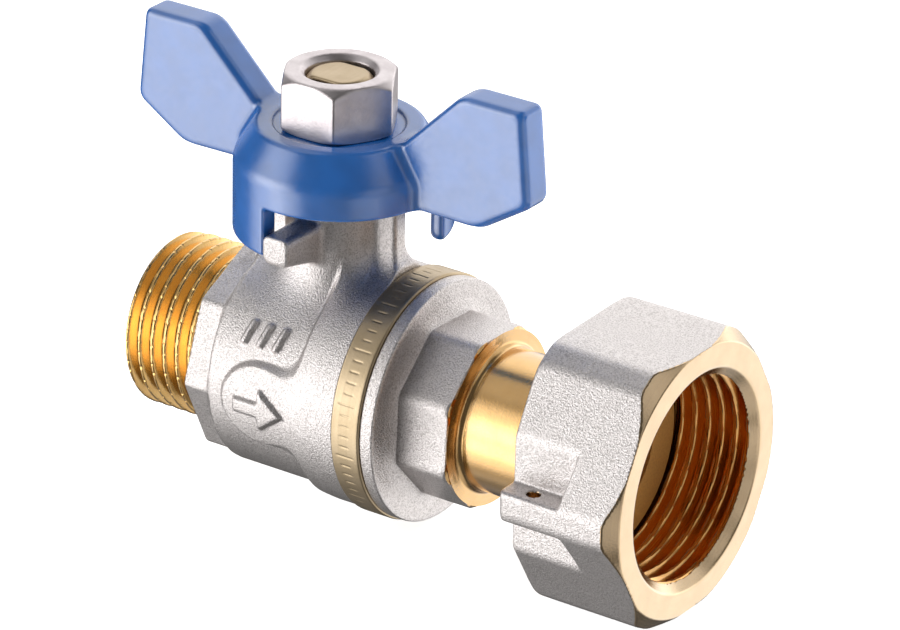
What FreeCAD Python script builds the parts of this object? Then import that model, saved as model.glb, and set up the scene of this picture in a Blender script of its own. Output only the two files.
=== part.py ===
import FreeCAD, Part
import math
import os

# A DN 15 water shutoff ball valve: a G1/2 male inlet, a butterfly handle on a stem, and a
# G3/4 swivel nut on the outlet tail.
# Frame, in millimetres: the origin is the centre of the inlet thread's end face, +X runs along
# the pipe to the outlet and +Z runs up the stem. The front of the valve faces -Y.

# ---- driving dimensions ----------------------------------------------------------------------

# Pipe threads (ISO 228): radii and pitch.
G_PITCH = 1.814
G_HALF_ANGLE = 27.5
INLET_CREST_R = 10.4775
INLET_ROOT_R = 9.3155
OUTLET_CREST_R = 12.06
OUTLET_ROOT_R = 13.22
CREST_LAND = 0.3
INLET_FIRST_CREST_X = 0.6
INLET_CRESTS = 6
INLET_END_R = 10.0
INLET_RUNOUT_R = 9.6

# Stations along the pipe.
STEM_X = 23.4
BODY_OCTAGON_X = 11.1
BARREL_X = 13.9
COLLAR_X = 33.1
BODY_END_X = 36.9
CAP_OCTAGON_X = 38.65
TAIL_X = 46.15
NUT_BACK_X = 57.8
TAIL_END_X = 61.7
NUT_FRONT_X = 73.0

# Outside of the body and the cap.
OCTAGON_APOTHEM = 12.2
OCTAGON_CORNER_R = 13.3
OCTAGON_END_R = 13.1
OCTAGON_CHAMFER = 0.8
OCTAGON_CORE_R = 11.5
OCTAGON_TURN = 3.0
GROOVE_R = 12.65
GROOVE_END_X = 14.5
BARREL_START_X = 15.1
BARREL_R = 13.55
FLARE_START_X = 25.4
FLARE_END_X = 27.8
FLARE_R = 14.45
COLLAR_R = 14.75
COLLAR_FOOT_R = 14.6
FLANGE_R = 14.5
FLANGE_CHAMFER = 0.4
CAP_OCTAGON_APOTHEM = 10.2
CAP_OCTAGON_CHAMFER = 0.45
CAP_OCTAGON_CORE_R = 10.0
CAP_OCTAGON_TURN = 20.0
TAIL_R = 8.5
TAIL_ROOT_R = 9.7
TAIL_ROOT_LENGTH = 1.0
TAIL_ROOT_STEPS = 6
TAIL_CHAMFER = 0.2

# Flow path, ball and seats.
BORE_R = 6.75
BALL_R = 11.0
SEAT_INNER_R = 7.0
SEAT_OUTER_R = 9.6
SEAT_NEAR = 6.2
SEAT_FAR = 9.2
SEAT_CLEARANCE = 0.03
POCKET_CLEARANCE = 0.05
CAVITY_R = 11.5
CAVITY_HALF_LENGTH = 6.5

# The cap's screwed joint in the body.
JOINT_PITCH = 1.5
JOINT_HALF_ANGLE = 30.0
JOINT_FIRST_X = 32.0
JOINT_CRESTS = 3
JOINT_MALE_CREST_R = 12.36
JOINT_MALE_ROOT_R = 11.7
JOINT_FEMALE_CREST_R = 11.76
JOINT_FEMALE_ROOT_R = 12.45
CAP_NOSE_X = 30.0
CAP_NOSE_R = 11.3
CAP_NOSE_LENGTH = 0.8
CAP_NOSE_STEP = 0.1
CAP_SEAL_X = 36.25
CAP_SEAL_WIRE_R = 0.58
CAP_SEAL_R = 12.6
CAP_SEAL_POCKET_X = 35.6
CAP_SEAL_POCKET_R = 13.2
CAP_SEAL_LAND_R = 12.0

# Neck, its two side ribs and the handle stop.
NECK_R = 6.1
NECK_TOP_Z = 23.0
NECK_FILLET = 3.5
RIB_REACH = 8.8
RIB_HALF_WIDTH = 1.2
RIB_TOP_Z = 22.4
STOP_HALF_WIDTH = 1.8
STOP_END_Y = -12.4
STOP_TOP_Z = 20.6
STOP_BOTTOM_Z = 17.5
STOP_ROOT_Z = 16.1
STOP_ROOT_Y = -6.3
STOP_START_Y = -4.0
STOP_ROUND = 1.1

# Stem, its seals and the slot that turns the ball.
STEM_R = 4.0
STEM_BORE_R = 4.05
STEM_HEAD_R = 5.2
STEM_HEAD_POCKET_R = 5.4
STEM_HEAD_Z = 11.15
WASHER_Z = 12.9
WASHER_TOP_Z = 13.7
HEAD_POCKET_TOP_Z = 13.75
TANG_HALF_WIDTH = 1.95
TANG_HALF_LENGTH = 3.8
TANG_BOTTOM_Z = 8.1
SLOT_HALF_WIDTH = 2.0
SLOT_BOTTOM_Z = 8.0
ORING_R = 3.32
ORING_WIRE_R = 0.7
ORING_GROOVE_R = 2.6
ORING_GROOVE_HALF_WIDTH = 0.95
ORING_HEIGHTS = {"stem_oring_lower": 16.0, "stem_oring_upper": 19.6}
STEM_SHOULDER_Z = 25.2
STEM_TOP_Z = 36.9
STEM_FLAT_HALF = 2.8
STEM_TOP_CHAMFER = 0.65

# Handle nut (M8).
NUT_PITCH = 1.25
NUT_HALF_ANGLE = 30.0
NUT_THREAD_R = 3.9
NUT_THREAD_ROOT_R = 3.3
NUT_RIDGE_R = 3.42
NUT_BORE_R = 4.0
NUT_ACROSS_FLATS = 12.7
NUT_TURN = 0.0
NUT_SEAT_Z = 30.6
NUT_TOP_Z = 37.35
NUT_FIRST_RIDGE_Z = 31.8
NUT_RIDGES = 4
NUT_COUNTERSINK_R = 4.5
NUT_COUNTERSINK_DEPTH = 0.5
NUT_BOTTOM_CHAMFER = (0.9, 0.5)
NUT_TOP_CHAMFER = (1.1, 1.0)

# Handle: a domed hub with a skirt, two wings and two stop legs.
SKIRT_R = 12.2
SKIRT_INNER_R = 9.6
SKIRT_BOTTOM_Z = 23.53
SKIRT_TOP_Z = 27.0
SKIRT_ROUND = (0.35, 0.75)
RIM_R = 9.8
RIM_Z = 31.0
RIM_ROUND = (0.7, 0.5)
RECESS_R = 8.0
HUB_INNER_TOP_Z = 25.8
HUB_BOSS_R = 6.4
HUB_CEILING_Z = 28.2
HANDLE_HOLE_R = 4.1
HANDLE_FLAT_HALF = 2.85
WING_HALF_THICKNESS = 2.25
WING_ROUND = 1.0
WING_OUTLINE = [(7.0, 23.7), (7.0, 28.4), (17.9, 39.1), (26.3, 39.1), (27.4, 27.8), (20.5, 23.4)]
LEG_GAP = 0.15
OPEN_LEG_BOTTOM_Z = 17.7
OPEN_LEG_SWEEP = (-150.0, -90.0)
CLOSE_LEG_BOTTOM_Z = 18.5
CLOSE_LEG_TOP_Z = 26.0
CLOSE_LEG_INNER_R = 11.4
CLOSE_LEG_OUTER_R = 13.4
CLOSE_LEG_SWEEP = (0.0, 38.0)

# Swivel nut, its retaining ring and its gasket.
HEX_APOTHEM = 16.0
HEX_CORNER_CUT = 17.6
HEX_TURN = 1.0
HEX_BACK_R = 17.4
HEX_ENVELOPE_R = 17.8
HEX_FRONT_R = 16.1
HEX_FRONT_CHAMFER = 1.5
HEX_BACK_CHAMFER = 0.4
NUT_MOUTH_R = 13.24
NUT_MOUTH_LENGTH = 0.9
NUT_WALL_X = 59.9
NUT_HOLE_R = 8.75
NUT_HOLE_CHAMFER = 0.5
OUTLET_FIRST_CREST_X = 64.244
OUTLET_CRESTS = 5
RUNOUT_CREST_R = 12.5
RING_X = 59.95
RING_THICKNESS = 1.1
RING_INNER_R = 7.75
RING_OUTER_R = 9.9
RING_GAP_HALF_WIDTH = 2.0
RING_GROOVE_R = 7.65
RING_GROOVE_SPACE = 0.05
GASKET_INNER_R = 7.2
GASKET_OUTER_R = 11.6
GASKET_THICKNESS = 0.8

# The lead-seal eye on the swivel nut's front corner.
EYE_TOP_Z = 1.25
EYE_BOTTOM_Z = -2.5
EYE_WALL_Y = -14.35
EYE_HOLE_X = 61.4
EYE_HOLE_Y = -15.7
EYE_HOLE_R = 0.8
UPPER_POCKET_END_X = 65.6
UPPER_POCKET_TOP_Z = 8.5
LOWER_POCKET_END_X = 65.8
LOWER_POCKET_BOTTOM_Z = -8.0

# A raised pad on the front of the barrel, with a plain flow arrow on it.
PAD_R = 14.2
PAD_CENTRE_X = 22.4
PAD_CENTRE_Z = -0.3
PAD_HALF_WIDTH = 4.6
ARROW_TOP_R = 14.55
ARROW_CENTRE_Z = -0.4
ARROW_FOOT_Y = -11.7
ARROW_TAIL_X = 19.2
ARROW_NECK_X = 23.0
ARROW_TIP_X = 26.2
ARROW_HALF_SHAFT = 0.9
ARROW_HALF_HEAD = 2.3

X_AXIS = FreeCAD.Vector(1, 0, 0)
Z_AXIS = FreeCAD.Vector(0, 0, 1)
CENTRE = FreeCAD.Vector(0, 0, 0)
STEM_CENTRE = FreeCAD.Vector(STEM_X, 0, 0)


# ---- shape helpers ---------------------------------------------------------------------------

def face_from(vectors):
    """A flat face inside a closed loop of points."""
    return Part.Face(Part.makePolygon(vectors + vectors[:1]))


def turned_about_x(profile):
    """The solid swept by (x, radius) points turned about the pipe axis."""
    return face_from([FreeCAD.Vector(x, 0, r) for x, r in profile]).revolve(CENTRE, X_AXIS, 360)


def turned_about_stem(profile):
    """The solid swept by (radius, z) points turned about the stem axis."""
    points = [FreeCAD.Vector(STEM_X + r, 0, z) for r, z in profile]
    return face_from(points).revolve(STEM_CENTRE, Z_AXIS, 360)


def rod_x(radius, x0, x1):
    """A round bar along the pipe axis."""
    return Part.makeCylinder(radius, x1 - x0, FreeCAD.Vector(x0, 0, 0), X_AXIS)


def rod_z(radius, z0, z1):
    """A round bar along the stem axis."""
    return Part.makeCylinder(radius, z1 - z0, FreeCAD.Vector(STEM_X, 0, z0), Z_AXIS)


def block(x0, x1, y0, y1, z0, z1):
    """A box between two corners."""
    return Part.makeBox(x1 - x0, y1 - y0, z1 - z0, FreeCAD.Vector(x0, y0, z0))


def polygon_bar_x(sides, apothem, turn, x0, x1):
    """A regular bar along the pipe; turn is the angle in degrees of its first corner from +Z."""
    corner_r = apothem / math.cos(math.pi / sides)
    angles = [math.radians(turn + 360.0 * k / sides) for k in range(sides)]
    corners = [FreeCAD.Vector(x0, -corner_r * math.sin(a), corner_r * math.cos(a)) for a in angles]
    return face_from(corners).extrude(FreeCAD.Vector(x1 - x0, 0, 0))


def ridges(first, count, pitch, root_r, crest_r, half_angle):
    """Profile points of a thread's ridges, as (distance along the axis, radius) pairs."""
    flank = abs(crest_r - root_r) * math.tan(math.radians(half_angle))
    points = []
    for k in range(count):
        middle = first + k * pitch
        points += [
            (middle - CREST_LAND / 2 - flank, root_r),
            (middle - CREST_LAND / 2, crest_r),
            (middle + CREST_LAND / 2, crest_r),
            (middle + CREST_LAND / 2 + flank, root_r),
        ]
    return points


def long_edges(shape, direction):
    """The straight edges of a shape that run along one direction."""
    chosen = []
    for edge in shape.Edges:
        if len(edge.Vertexes) != 2:
            continue
        along = edge.Vertexes[1].Point.sub(edge.Vertexes[0].Point)
        if along.Length > 0 and abs(along.dot(direction)) > 0.99 * along.Length:
            chosen.append(edge)
    return chosen


def sector(radius, z0, z1, start, end):
    """A pie slice about the stem, between two angles in degrees from +X."""
    slice_ = Part.makeCylinder(radius, z1 - z0, FreeCAD.Vector(STEM_X, 0, z0), Z_AXIS, end - start)
    slice_.rotate(STEM_CENTRE, Z_AXIS, start)
    return slice_


# ---- body and cap ----------------------------------------------------------------------------

def neck():
    """The stem housing, filleted into a length of barrel, with its two side ribs."""
    housing = rod_z(NECK_R, 0, NECK_TOP_Z).fuse(rod_x(BARREL_R, BARREL_START_X, COLLAR_X)).removeSplitter()
    root_edges = [edge for edge in housing.Edges
                  if edge.BoundBox.ZMin > STEM_HEAD_Z and edge.BoundBox.ZMax < STOP_ROOT_Z]
    rib = block(STEM_X - RIB_REACH, STEM_X + RIB_REACH, -RIB_HALF_WIDTH, RIB_HALF_WIDTH, 0, RIB_TOP_Z)
    return housing.makeFillet(NECK_FILLET, root_edges).fuse(rib).removeSplitter()


def handle_stop():
    """The lug that the handle's legs meet."""
    side = [(STOP_START_Y, STOP_ROOT_Z), (STOP_ROOT_Y, STOP_ROOT_Z), (STOP_END_Y, STOP_BOTTOM_Z),
            (STOP_END_Y, STOP_TOP_Z), (STOP_START_Y, STOP_TOP_Z)]
    points = [FreeCAD.Vector(STEM_X - STOP_HALF_WIDTH, y, z) for y, z in side]
    lug = face_from(points).extrude(FreeCAD.Vector(2 * STOP_HALF_WIDTH, 0, 0))
    return lug.makeFillet(STOP_ROUND, long_edges(lug, FreeCAD.Vector(0, 1, 0)))


def front_pad():
    """The round raised pad on the front of the barrel."""
    centre = FreeCAD.Vector(PAD_CENTRE_X, -PAD_R, PAD_CENTRE_Z)
    disc = Part.makeCylinder(PAD_HALF_WIDTH, PAD_R + ARROW_FOOT_Y, centre, FreeCAD.Vector(0, 1, 0))
    return disc.common(rod_x(PAD_R, BARREL_X, COLLAR_X))


def flow_arrow():
    """A raised arrow on the pad that points to the outlet."""
    outline = [(ARROW_TAIL_X, -ARROW_HALF_SHAFT), (ARROW_NECK_X, -ARROW_HALF_SHAFT),
               (ARROW_NECK_X, -ARROW_HALF_HEAD), (ARROW_TIP_X, 0), (ARROW_NECK_X, ARROW_HALF_HEAD),
               (ARROW_NECK_X, ARROW_HALF_SHAFT), (ARROW_TAIL_X, ARROW_HALF_SHAFT)]
    points = [FreeCAD.Vector(x, -ARROW_TOP_R, ARROW_CENTRE_Z + z) for x, z in outline]
    bar = face_from(points).extrude(FreeCAD.Vector(0, ARROW_TOP_R + ARROW_FOOT_Y, 0))
    return bar.common(rod_x(ARROW_TOP_R, BARREL_X, COLLAR_X))


def body_cavity():
    """Everything that is open inside the body: bore, seat pocket, ball space and cap thread."""
    pocket_r = SEAT_OUTER_R + POCKET_CLEARANCE
    pocket_x = STEM_X - SEAT_FAR - POCKET_CLEARANCE
    ball_x = STEM_X - CAVITY_HALF_LENGTH
    thread_x = JOINT_FIRST_X - JOINT_PITCH
    profile = [(-1, 0), (-1, BORE_R), (pocket_x, BORE_R), (pocket_x, pocket_r), (ball_x, pocket_r),
               (ball_x, CAVITY_R), (thread_x, CAVITY_R), (thread_x, JOINT_FEMALE_ROOT_R)]
    profile += ridges(JOINT_FIRST_X - JOINT_PITCH / 2, JOINT_CRESTS, JOINT_PITCH,
                      JOINT_FEMALE_ROOT_R, JOINT_FEMALE_CREST_R, JOINT_HALF_ANGLE)[2:]
    profile += [(CAP_SEAL_POCKET_X, JOINT_FEMALE_ROOT_R), (CAP_SEAL_POCKET_X, CAP_SEAL_POCKET_R),
                (BODY_END_X + 1, CAP_SEAL_POCKET_R), (BODY_END_X + 1, 0)]
    stem_hole = rod_z(STEM_BORE_R, 0, NECK_TOP_Z + 1)
    head_pocket = rod_z(STEM_HEAD_POCKET_R, 0, HEAD_POCKET_TOP_Z)
    return turned_about_x(profile).fuse([stem_hole, head_pocket])


def valve_body():
    """The forged body: inlet thread, octagon, barrel, collar, neck and handle stop."""
    profile = [(0, 0), (0, INLET_END_R)]
    profile += ridges(INLET_FIRST_CREST_X, INLET_CRESTS, G_PITCH, INLET_ROOT_R, INLET_CREST_R,
                      G_HALF_ANGLE)[1:-1]
    profile += [(BODY_OCTAGON_X, INLET_RUNOUT_R), (BODY_OCTAGON_X, OCTAGON_CORE_R),
                (BARREL_X, OCTAGON_CORE_R), (BARREL_X, GROOVE_R), (GROOVE_END_X, GROOVE_R),
                (BARREL_START_X, BARREL_R), (FLARE_START_X, BARREL_R), (FLARE_END_X, FLARE_R),
                (COLLAR_X, COLLAR_FOOT_R), (COLLAR_X, COLLAR_R), (BODY_END_X, COLLAR_R), (BODY_END_X, 0)]
    octagon = polygon_bar_x(8, OCTAGON_APOTHEM, OCTAGON_TURN, BODY_OCTAGON_X, BARREL_X)
    chamfer = turned_about_x([(BODY_OCTAGON_X, 0), (BODY_OCTAGON_X, OCTAGON_END_R),
                              (BODY_OCTAGON_X + OCTAGON_CHAMFER, OCTAGON_CORNER_R),
                              (BARREL_X, OCTAGON_CORNER_R), (BARREL_X, 0)])
    outside = turned_about_x(profile).fuse(octagon.common(chamfer)).fuse(neck()).removeSplitter()
    outside = outside.fuse([handle_stop(), front_pad(), flow_arrow()])
    return outside.cut(body_cavity()).removeSplitter()


def end_cap():
    """The screwed end: thread, flange, octagon for the spanner, and the outlet tail."""
    seat_x = STEM_X + SEAT_FAR + POCKET_CLEARANCE
    groove_start = RING_X - RING_GROOVE_SPACE
    groove_end = RING_X + RING_THICKNESS + RING_GROOVE_SPACE
    profile = [(CAP_NOSE_X, SEAT_OUTER_R + POCKET_CLEARANCE), (CAP_NOSE_X, CAP_NOSE_R),
               (CAP_NOSE_X + CAP_NOSE_LENGTH, CAP_NOSE_R),
               (CAP_NOSE_X + CAP_NOSE_LENGTH + CAP_NOSE_STEP, JOINT_MALE_ROOT_R)]
    profile += ridges(JOINT_FIRST_X, JOINT_CRESTS, JOINT_PITCH, JOINT_MALE_ROOT_R, JOINT_MALE_CREST_R,
                      JOINT_HALF_ANGLE)
    profile += [(CAP_SEAL_POCKET_X, JOINT_MALE_ROOT_R), (CAP_SEAL_POCKET_X, CAP_SEAL_LAND_R),
                (BODY_END_X, CAP_SEAL_LAND_R),
                (BODY_END_X, FLANGE_R), (CAP_OCTAGON_X - FLANGE_CHAMFER, FLANGE_R),
                (CAP_OCTAGON_X, FLANGE_R - FLANGE_CHAMFER), (CAP_OCTAGON_X, CAP_OCTAGON_CORE_R),
                (TAIL_X, CAP_OCTAGON_CORE_R), (TAIL_X, TAIL_ROOT_R)]
    for k in range(1, TAIL_ROOT_STEPS + 1):
        angle = math.pi / 2 * k / TAIL_ROOT_STEPS
        profile.append((TAIL_X + TAIL_ROOT_LENGTH * math.sin(angle),
                        TAIL_R + (TAIL_ROOT_R - TAIL_R) * (1 - math.sin(angle)) ** 1.5))
    profile += [(groove_start, TAIL_R), (groove_start, RING_GROOVE_R), (groove_end, RING_GROOVE_R),
                (groove_end, TAIL_R), (TAIL_END_X - TAIL_CHAMFER, TAIL_R),
                (TAIL_END_X, TAIL_R - TAIL_CHAMFER),
                (TAIL_END_X, BORE_R), (seat_x, BORE_R), (seat_x, SEAT_OUTER_R + POCKET_CLEARANCE)]
    octagon = polygon_bar_x(8, CAP_OCTAGON_APOTHEM, CAP_OCTAGON_TURN, CAP_OCTAGON_X, TAIL_X)
    corner_r = CAP_OCTAGON_APOTHEM / math.cos(math.pi / 8)
    chamfer = turned_about_x([(CAP_OCTAGON_X, BORE_R), (CAP_OCTAGON_X, corner_r),
                              (TAIL_X - CAP_OCTAGON_CHAMFER, corner_r), (TAIL_X, CAP_OCTAGON_APOTHEM),
                              (TAIL_X, BORE_R)])
    return turned_about_x(profile).fuse(octagon.common(chamfer)).removeSplitter()


def cap_seal_ring():
    """The O-ring between the cap and the body."""
    return Part.makeTorus(CAP_SEAL_R, CAP_SEAL_WIRE_R, FreeCAD.Vector(CAP_SEAL_X, 0, 0), X_AXIS)


# ---- ball and seats --------------------------------------------------------------------------

def ball():
    """The ball, open along the pipe, with the slot that the stem's tang turns."""
    sphere = Part.makeSphere(BALL_R, STEM_CENTRE)
    bore = rod_x(BORE_R, STEM_X - BALL_R, STEM_X + BALL_R)
    slot = block(STEM_X - SLOT_HALF_WIDTH, STEM_X + SLOT_HALF_WIDTH, -BALL_R, BALL_R,
                 SLOT_BOTTOM_Z, BALL_R + 1)
    return sphere.cut(bore).cut(slot)


def seat(side):
    """A seat ring that hugs the ball; side is -1 for the inlet and +1 for the outlet."""
    near = STEM_X + side * SEAT_NEAR
    far = STEM_X + side * SEAT_FAR
    ring = turned_about_x([(near, SEAT_INNER_R), (near, SEAT_OUTER_R), (far, SEAT_OUTER_R),
                           (far, SEAT_INNER_R)])
    return ring.cut(Part.makeSphere(BALL_R + SEAT_CLEARANCE, STEM_CENTRE))


# ---- stem ------------------------------------------------------------------------------------

def stem():
    """The stem: tang, head, two O-ring grooves, and a threaded top with two flats."""
    profile = [(0, STEM_HEAD_Z), (STEM_HEAD_R, STEM_HEAD_Z), (STEM_HEAD_R, WASHER_Z), (STEM_R, WASHER_Z)]
    for height in ORING_HEIGHTS.values():
        low = height - ORING_GROOVE_HALF_WIDTH
        high = height + ORING_GROOVE_HALF_WIDTH
        profile += [(STEM_R, low), (ORING_GROOVE_R, low), (ORING_GROOVE_R, high), (STEM_R, high)]
    profile += [(STEM_R, STEM_SHOULDER_Z), (NUT_THREAD_R, STEM_SHOULDER_Z), (NUT_THREAD_R, NUT_SEAT_Z)]
    first = NUT_FIRST_RIDGE_Z - NUT_PITCH / 2
    thread = ridges(first, NUT_RIDGES + 1, NUT_PITCH, NUT_THREAD_ROOT_R, NUT_THREAD_R, NUT_HALF_ANGLE)
    profile += [(r, z) for z, r in thread[1:-1]]
    profile += [(NUT_THREAD_R, STEM_TOP_Z - STEM_TOP_CHAMFER),
                (NUT_THREAD_R - STEM_TOP_CHAMFER, STEM_TOP_Z), (0, STEM_TOP_Z)]
    shaft = turned_about_stem(profile)
    for side in (-1, 1):
        low, high = sorted((side * STEM_FLAT_HALF, side * (STEM_R + 1)))
        shaft = shaft.cut(block(STEM_X - STEM_R - 1, STEM_X + STEM_R + 1, low, high,
                                STEM_SHOULDER_Z, STEM_TOP_Z + 1))
    tang = block(STEM_X - TANG_HALF_WIDTH, STEM_X + TANG_HALF_WIDTH, -TANG_HALF_LENGTH,
                 TANG_HALF_LENGTH, TANG_BOTTOM_Z, STEM_HEAD_Z)
    return shaft.fuse(tang).removeSplitter()


def stem_thrust_washer():
    """The washer that the stem's head bears on."""
    return turned_about_stem([(STEM_BORE_R, WASHER_Z), (STEM_HEAD_R, WASHER_Z),
                              (STEM_HEAD_R, WASHER_TOP_Z), (STEM_BORE_R, WASHER_TOP_Z)])


def stem_oring(height):
    """An O-ring in one of the stem's grooves."""
    return Part.makeTorus(ORING_R, ORING_WIRE_R, FreeCAD.Vector(STEM_X, 0, height), Z_AXIS)


def handle_nut():
    """The hexagon nut that holds the handle on the stem."""
    corner_r = NUT_ACROSS_FLATS / 2 / math.cos(math.pi / 6)
    corners = []
    for k in range(6):
        angle = math.radians(NUT_TURN + 60.0 * k)
        corners.append(FreeCAD.Vector(STEM_X + corner_r * math.cos(angle), corner_r * math.sin(angle),
                                      NUT_SEAT_Z))
    prism = face_from(corners).extrude(FreeCAD.Vector(0, 0, NUT_TOP_Z - NUT_SEAT_Z))
    bottom_in, bottom_up = NUT_BOTTOM_CHAMFER
    top_in, top_down = NUT_TOP_CHAMFER
    envelope = turned_about_stem([(0, NUT_SEAT_Z), (corner_r - bottom_in, NUT_SEAT_Z),
                                  (corner_r, NUT_SEAT_Z + bottom_up), (corner_r, NUT_TOP_Z - top_down),
                                  (corner_r - top_in, NUT_TOP_Z), (0, NUT_TOP_Z)])
    bore = [(0, NUT_SEAT_Z - 1), (NUT_BORE_R, NUT_SEAT_Z - 1)]
    thread = ridges(NUT_FIRST_RIDGE_Z, NUT_RIDGES, NUT_PITCH, NUT_BORE_R, NUT_RIDGE_R, NUT_HALF_ANGLE)
    bore += [(r, z) for z, r in thread]
    bore += [(NUT_BORE_R, NUT_TOP_Z - NUT_COUNTERSINK_DEPTH), (NUT_COUNTERSINK_R, NUT_TOP_Z),
             (NUT_COUNTERSINK_R, NUT_TOP_Z + 1), (0, NUT_TOP_Z + 1)]
    return prism.common(envelope).cut(turned_about_stem(bore))


# ---- handle ----------------------------------------------------------------------------------

def wing(side):
    """One wing; side is +1 towards the outlet and -1 towards the inlet."""
    points = [FreeCAD.Vector(STEM_X + side * x, -WING_HALF_THICKNESS, z) for x, z in WING_OUTLINE]
    plate = face_from(points).extrude(FreeCAD.Vector(0, 2 * WING_HALF_THICKNESS, 0))
    outer_edges = [edge for edge in plate.Edges
                   if side * (edge.BoundBox.XMax + edge.BoundBox.XMin - 2 * STEM_X) > 2 * SKIRT_INNER_R]
    return plate.makeFillet(WING_ROUND, outer_edges)


def leg(inner_r, outer_r, z0, z1, sweep):
    """A stop leg: a stretch of skirt between two angles."""
    wall = rod_z(outer_r, z0, z1).cut(rod_z(inner_r, z0, z1))
    return wall.common(sector(2 * outer_r, z0, z1, sweep[0], sweep[1]))


def stop_legs():
    """The two legs, cut back to their contact planes beside the stop."""
    reach = 2 * CLOSE_LEG_OUTER_R
    contact = STOP_HALF_WIDTH + LEG_GAP
    open_leg = leg(SKIRT_INNER_R, SKIRT_R, OPEN_LEG_BOTTOM_Z, SKIRT_TOP_Z, OPEN_LEG_SWEEP)
    open_leg = open_leg.cut(block(STEM_X - contact, STEM_X + reach, -reach, reach, 0, SKIRT_BOTTOM_Z))
    close_leg = leg(CLOSE_LEG_INNER_R, CLOSE_LEG_OUTER_R, CLOSE_LEG_BOTTOM_Z, CLOSE_LEG_TOP_Z,
                    CLOSE_LEG_SWEEP)
    close_leg = close_leg.cut(block(STEM_X, STEM_X + reach, -reach, contact, 0, 2 * CLOSE_LEG_TOP_Z))
    return [open_leg, close_leg]


def handle():
    """The butterfly handle: hub, skirt, wings and legs."""
    skirt_in, skirt_up = SKIRT_ROUND
    rim_in, rim_down = RIM_ROUND
    hub = turned_about_stem([(0, SKIRT_BOTTOM_Z), (SKIRT_R, SKIRT_BOTTOM_Z), (SKIRT_R, SKIRT_TOP_Z),
                             (SKIRT_R - skirt_in, SKIRT_TOP_Z + skirt_up), (RIM_R, RIM_Z - rim_down),
                             (RIM_R - rim_in, RIM_Z), (0, RIM_Z)])
    under = turned_about_stem([(0, 0), (SKIRT_INNER_R, 0), (SKIRT_INNER_R, HUB_INNER_TOP_Z),
                               (RECESS_R, HUB_CEILING_Z), (HUB_BOSS_R, HUB_CEILING_Z),
                               (HUB_BOSS_R, STEM_SHOULDER_Z), (0, STEM_SHOULDER_Z)])
    recess = rod_z(RECESS_R, NUT_SEAT_Z, NUT_TOP_Z)
    slot = block(STEM_X - HANDLE_HOLE_R, STEM_X + HANDLE_HOLE_R, -HANDLE_FLAT_HALF, HANDLE_FLAT_HALF,
                 SKIRT_BOTTOM_Z, NUT_TOP_Z)
    hole = rod_z(HANDLE_HOLE_R, SKIRT_BOTTOM_Z, NUT_TOP_Z).common(slot)
    solid = hub.fuse([wing(1), wing(-1)] + stop_legs())
    return solid.cut(under).cut(recess).cut(hole).removeSplitter()


# ---- swivel nut ------------------------------------------------------------------------------

def seal_eye_cuts():
    """The two pockets and the wire hole that leave the seal eye on the front corner."""
    start_x = NUT_BACK_X - 1
    outer_y = -HEX_CORNER_CUT - 2
    upper = block(start_x, UPPER_POCKET_END_X, outer_y, EYE_WALL_Y, EYE_TOP_Z, UPPER_POCKET_TOP_Z)
    lower = block(start_x, LOWER_POCKET_END_X, outer_y, EYE_WALL_Y, LOWER_POCKET_BOTTOM_Z, EYE_BOTTOM_Z)
    hole = Part.makeCylinder(EYE_HOLE_R, EYE_TOP_Z - EYE_BOTTOM_Z + 2,
                             FreeCAD.Vector(EYE_HOLE_X, EYE_HOLE_Y, EYE_BOTTOM_Z - 1), Z_AXIS)
    return [upper, lower, hole]


def union_nut():
    """The swivel nut: a hexagon with trimmed corners, the outlet thread and the seal eye."""
    hexagon = polygon_bar_x(6, HEX_APOTHEM, HEX_TURN + 30.0, NUT_BACK_X, NUT_FRONT_X)
    trimmed = polygon_bar_x(6, HEX_CORNER_CUT, HEX_TURN, NUT_BACK_X, NUT_FRONT_X)
    envelope = turned_about_x([(NUT_BACK_X, 0), (NUT_BACK_X, HEX_BACK_R),
                               (NUT_BACK_X + HEX_BACK_CHAMFER, HEX_ENVELOPE_R),
                               (NUT_FRONT_X - HEX_FRONT_CHAMFER, HEX_ENVELOPE_R),
                               (NUT_FRONT_X, HEX_FRONT_R), (NUT_FRONT_X, 0)])
    runout = ridges(OUTLET_FIRST_CREST_X - G_PITCH, 1, G_PITCH, OUTLET_ROOT_R, RUNOUT_CREST_R, G_HALF_ANGLE)
    thread = ridges(OUTLET_FIRST_CREST_X, OUTLET_CRESTS, G_PITCH, OUTLET_ROOT_R, OUTLET_CREST_R,
                    G_HALF_ANGLE)
    back_hole_r = NUT_HOLE_R + NUT_HOLE_CHAMFER
    inside = [(NUT_BACK_X - 1, 0), (NUT_BACK_X - 1, back_hole_r), (NUT_BACK_X, back_hole_r),
              (NUT_BACK_X + NUT_HOLE_CHAMFER, NUT_HOLE_R), (NUT_WALL_X, NUT_HOLE_R),
              (NUT_WALL_X, OUTLET_ROOT_R)]
    inside += runout + thread
    inside += [(NUT_FRONT_X - NUT_MOUTH_LENGTH, NUT_MOUTH_R), (NUT_FRONT_X + 1, NUT_MOUTH_R),
               (NUT_FRONT_X + 1, 0)]
    nut = hexagon.common(trimmed).common(envelope).cut(turned_about_x(inside))
    return nut.cut(seal_eye_cuts()).removeSplitter()


def retaining_ring():
    """The split ring in the tail's groove that keeps the swivel nut on."""
    end_x = RING_X + RING_THICKNESS
    ring = turned_about_x([(RING_X, RING_INNER_R), (RING_X, RING_OUTER_R), (end_x, RING_OUTER_R),
                           (end_x, RING_INNER_R)])
    gap = block(RING_X - 1, end_x + 1, -RING_GAP_HALF_WIDTH, RING_GAP_HALF_WIDTH, -2 * RING_OUTER_R, 0)
    return ring.cut(gap)


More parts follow.
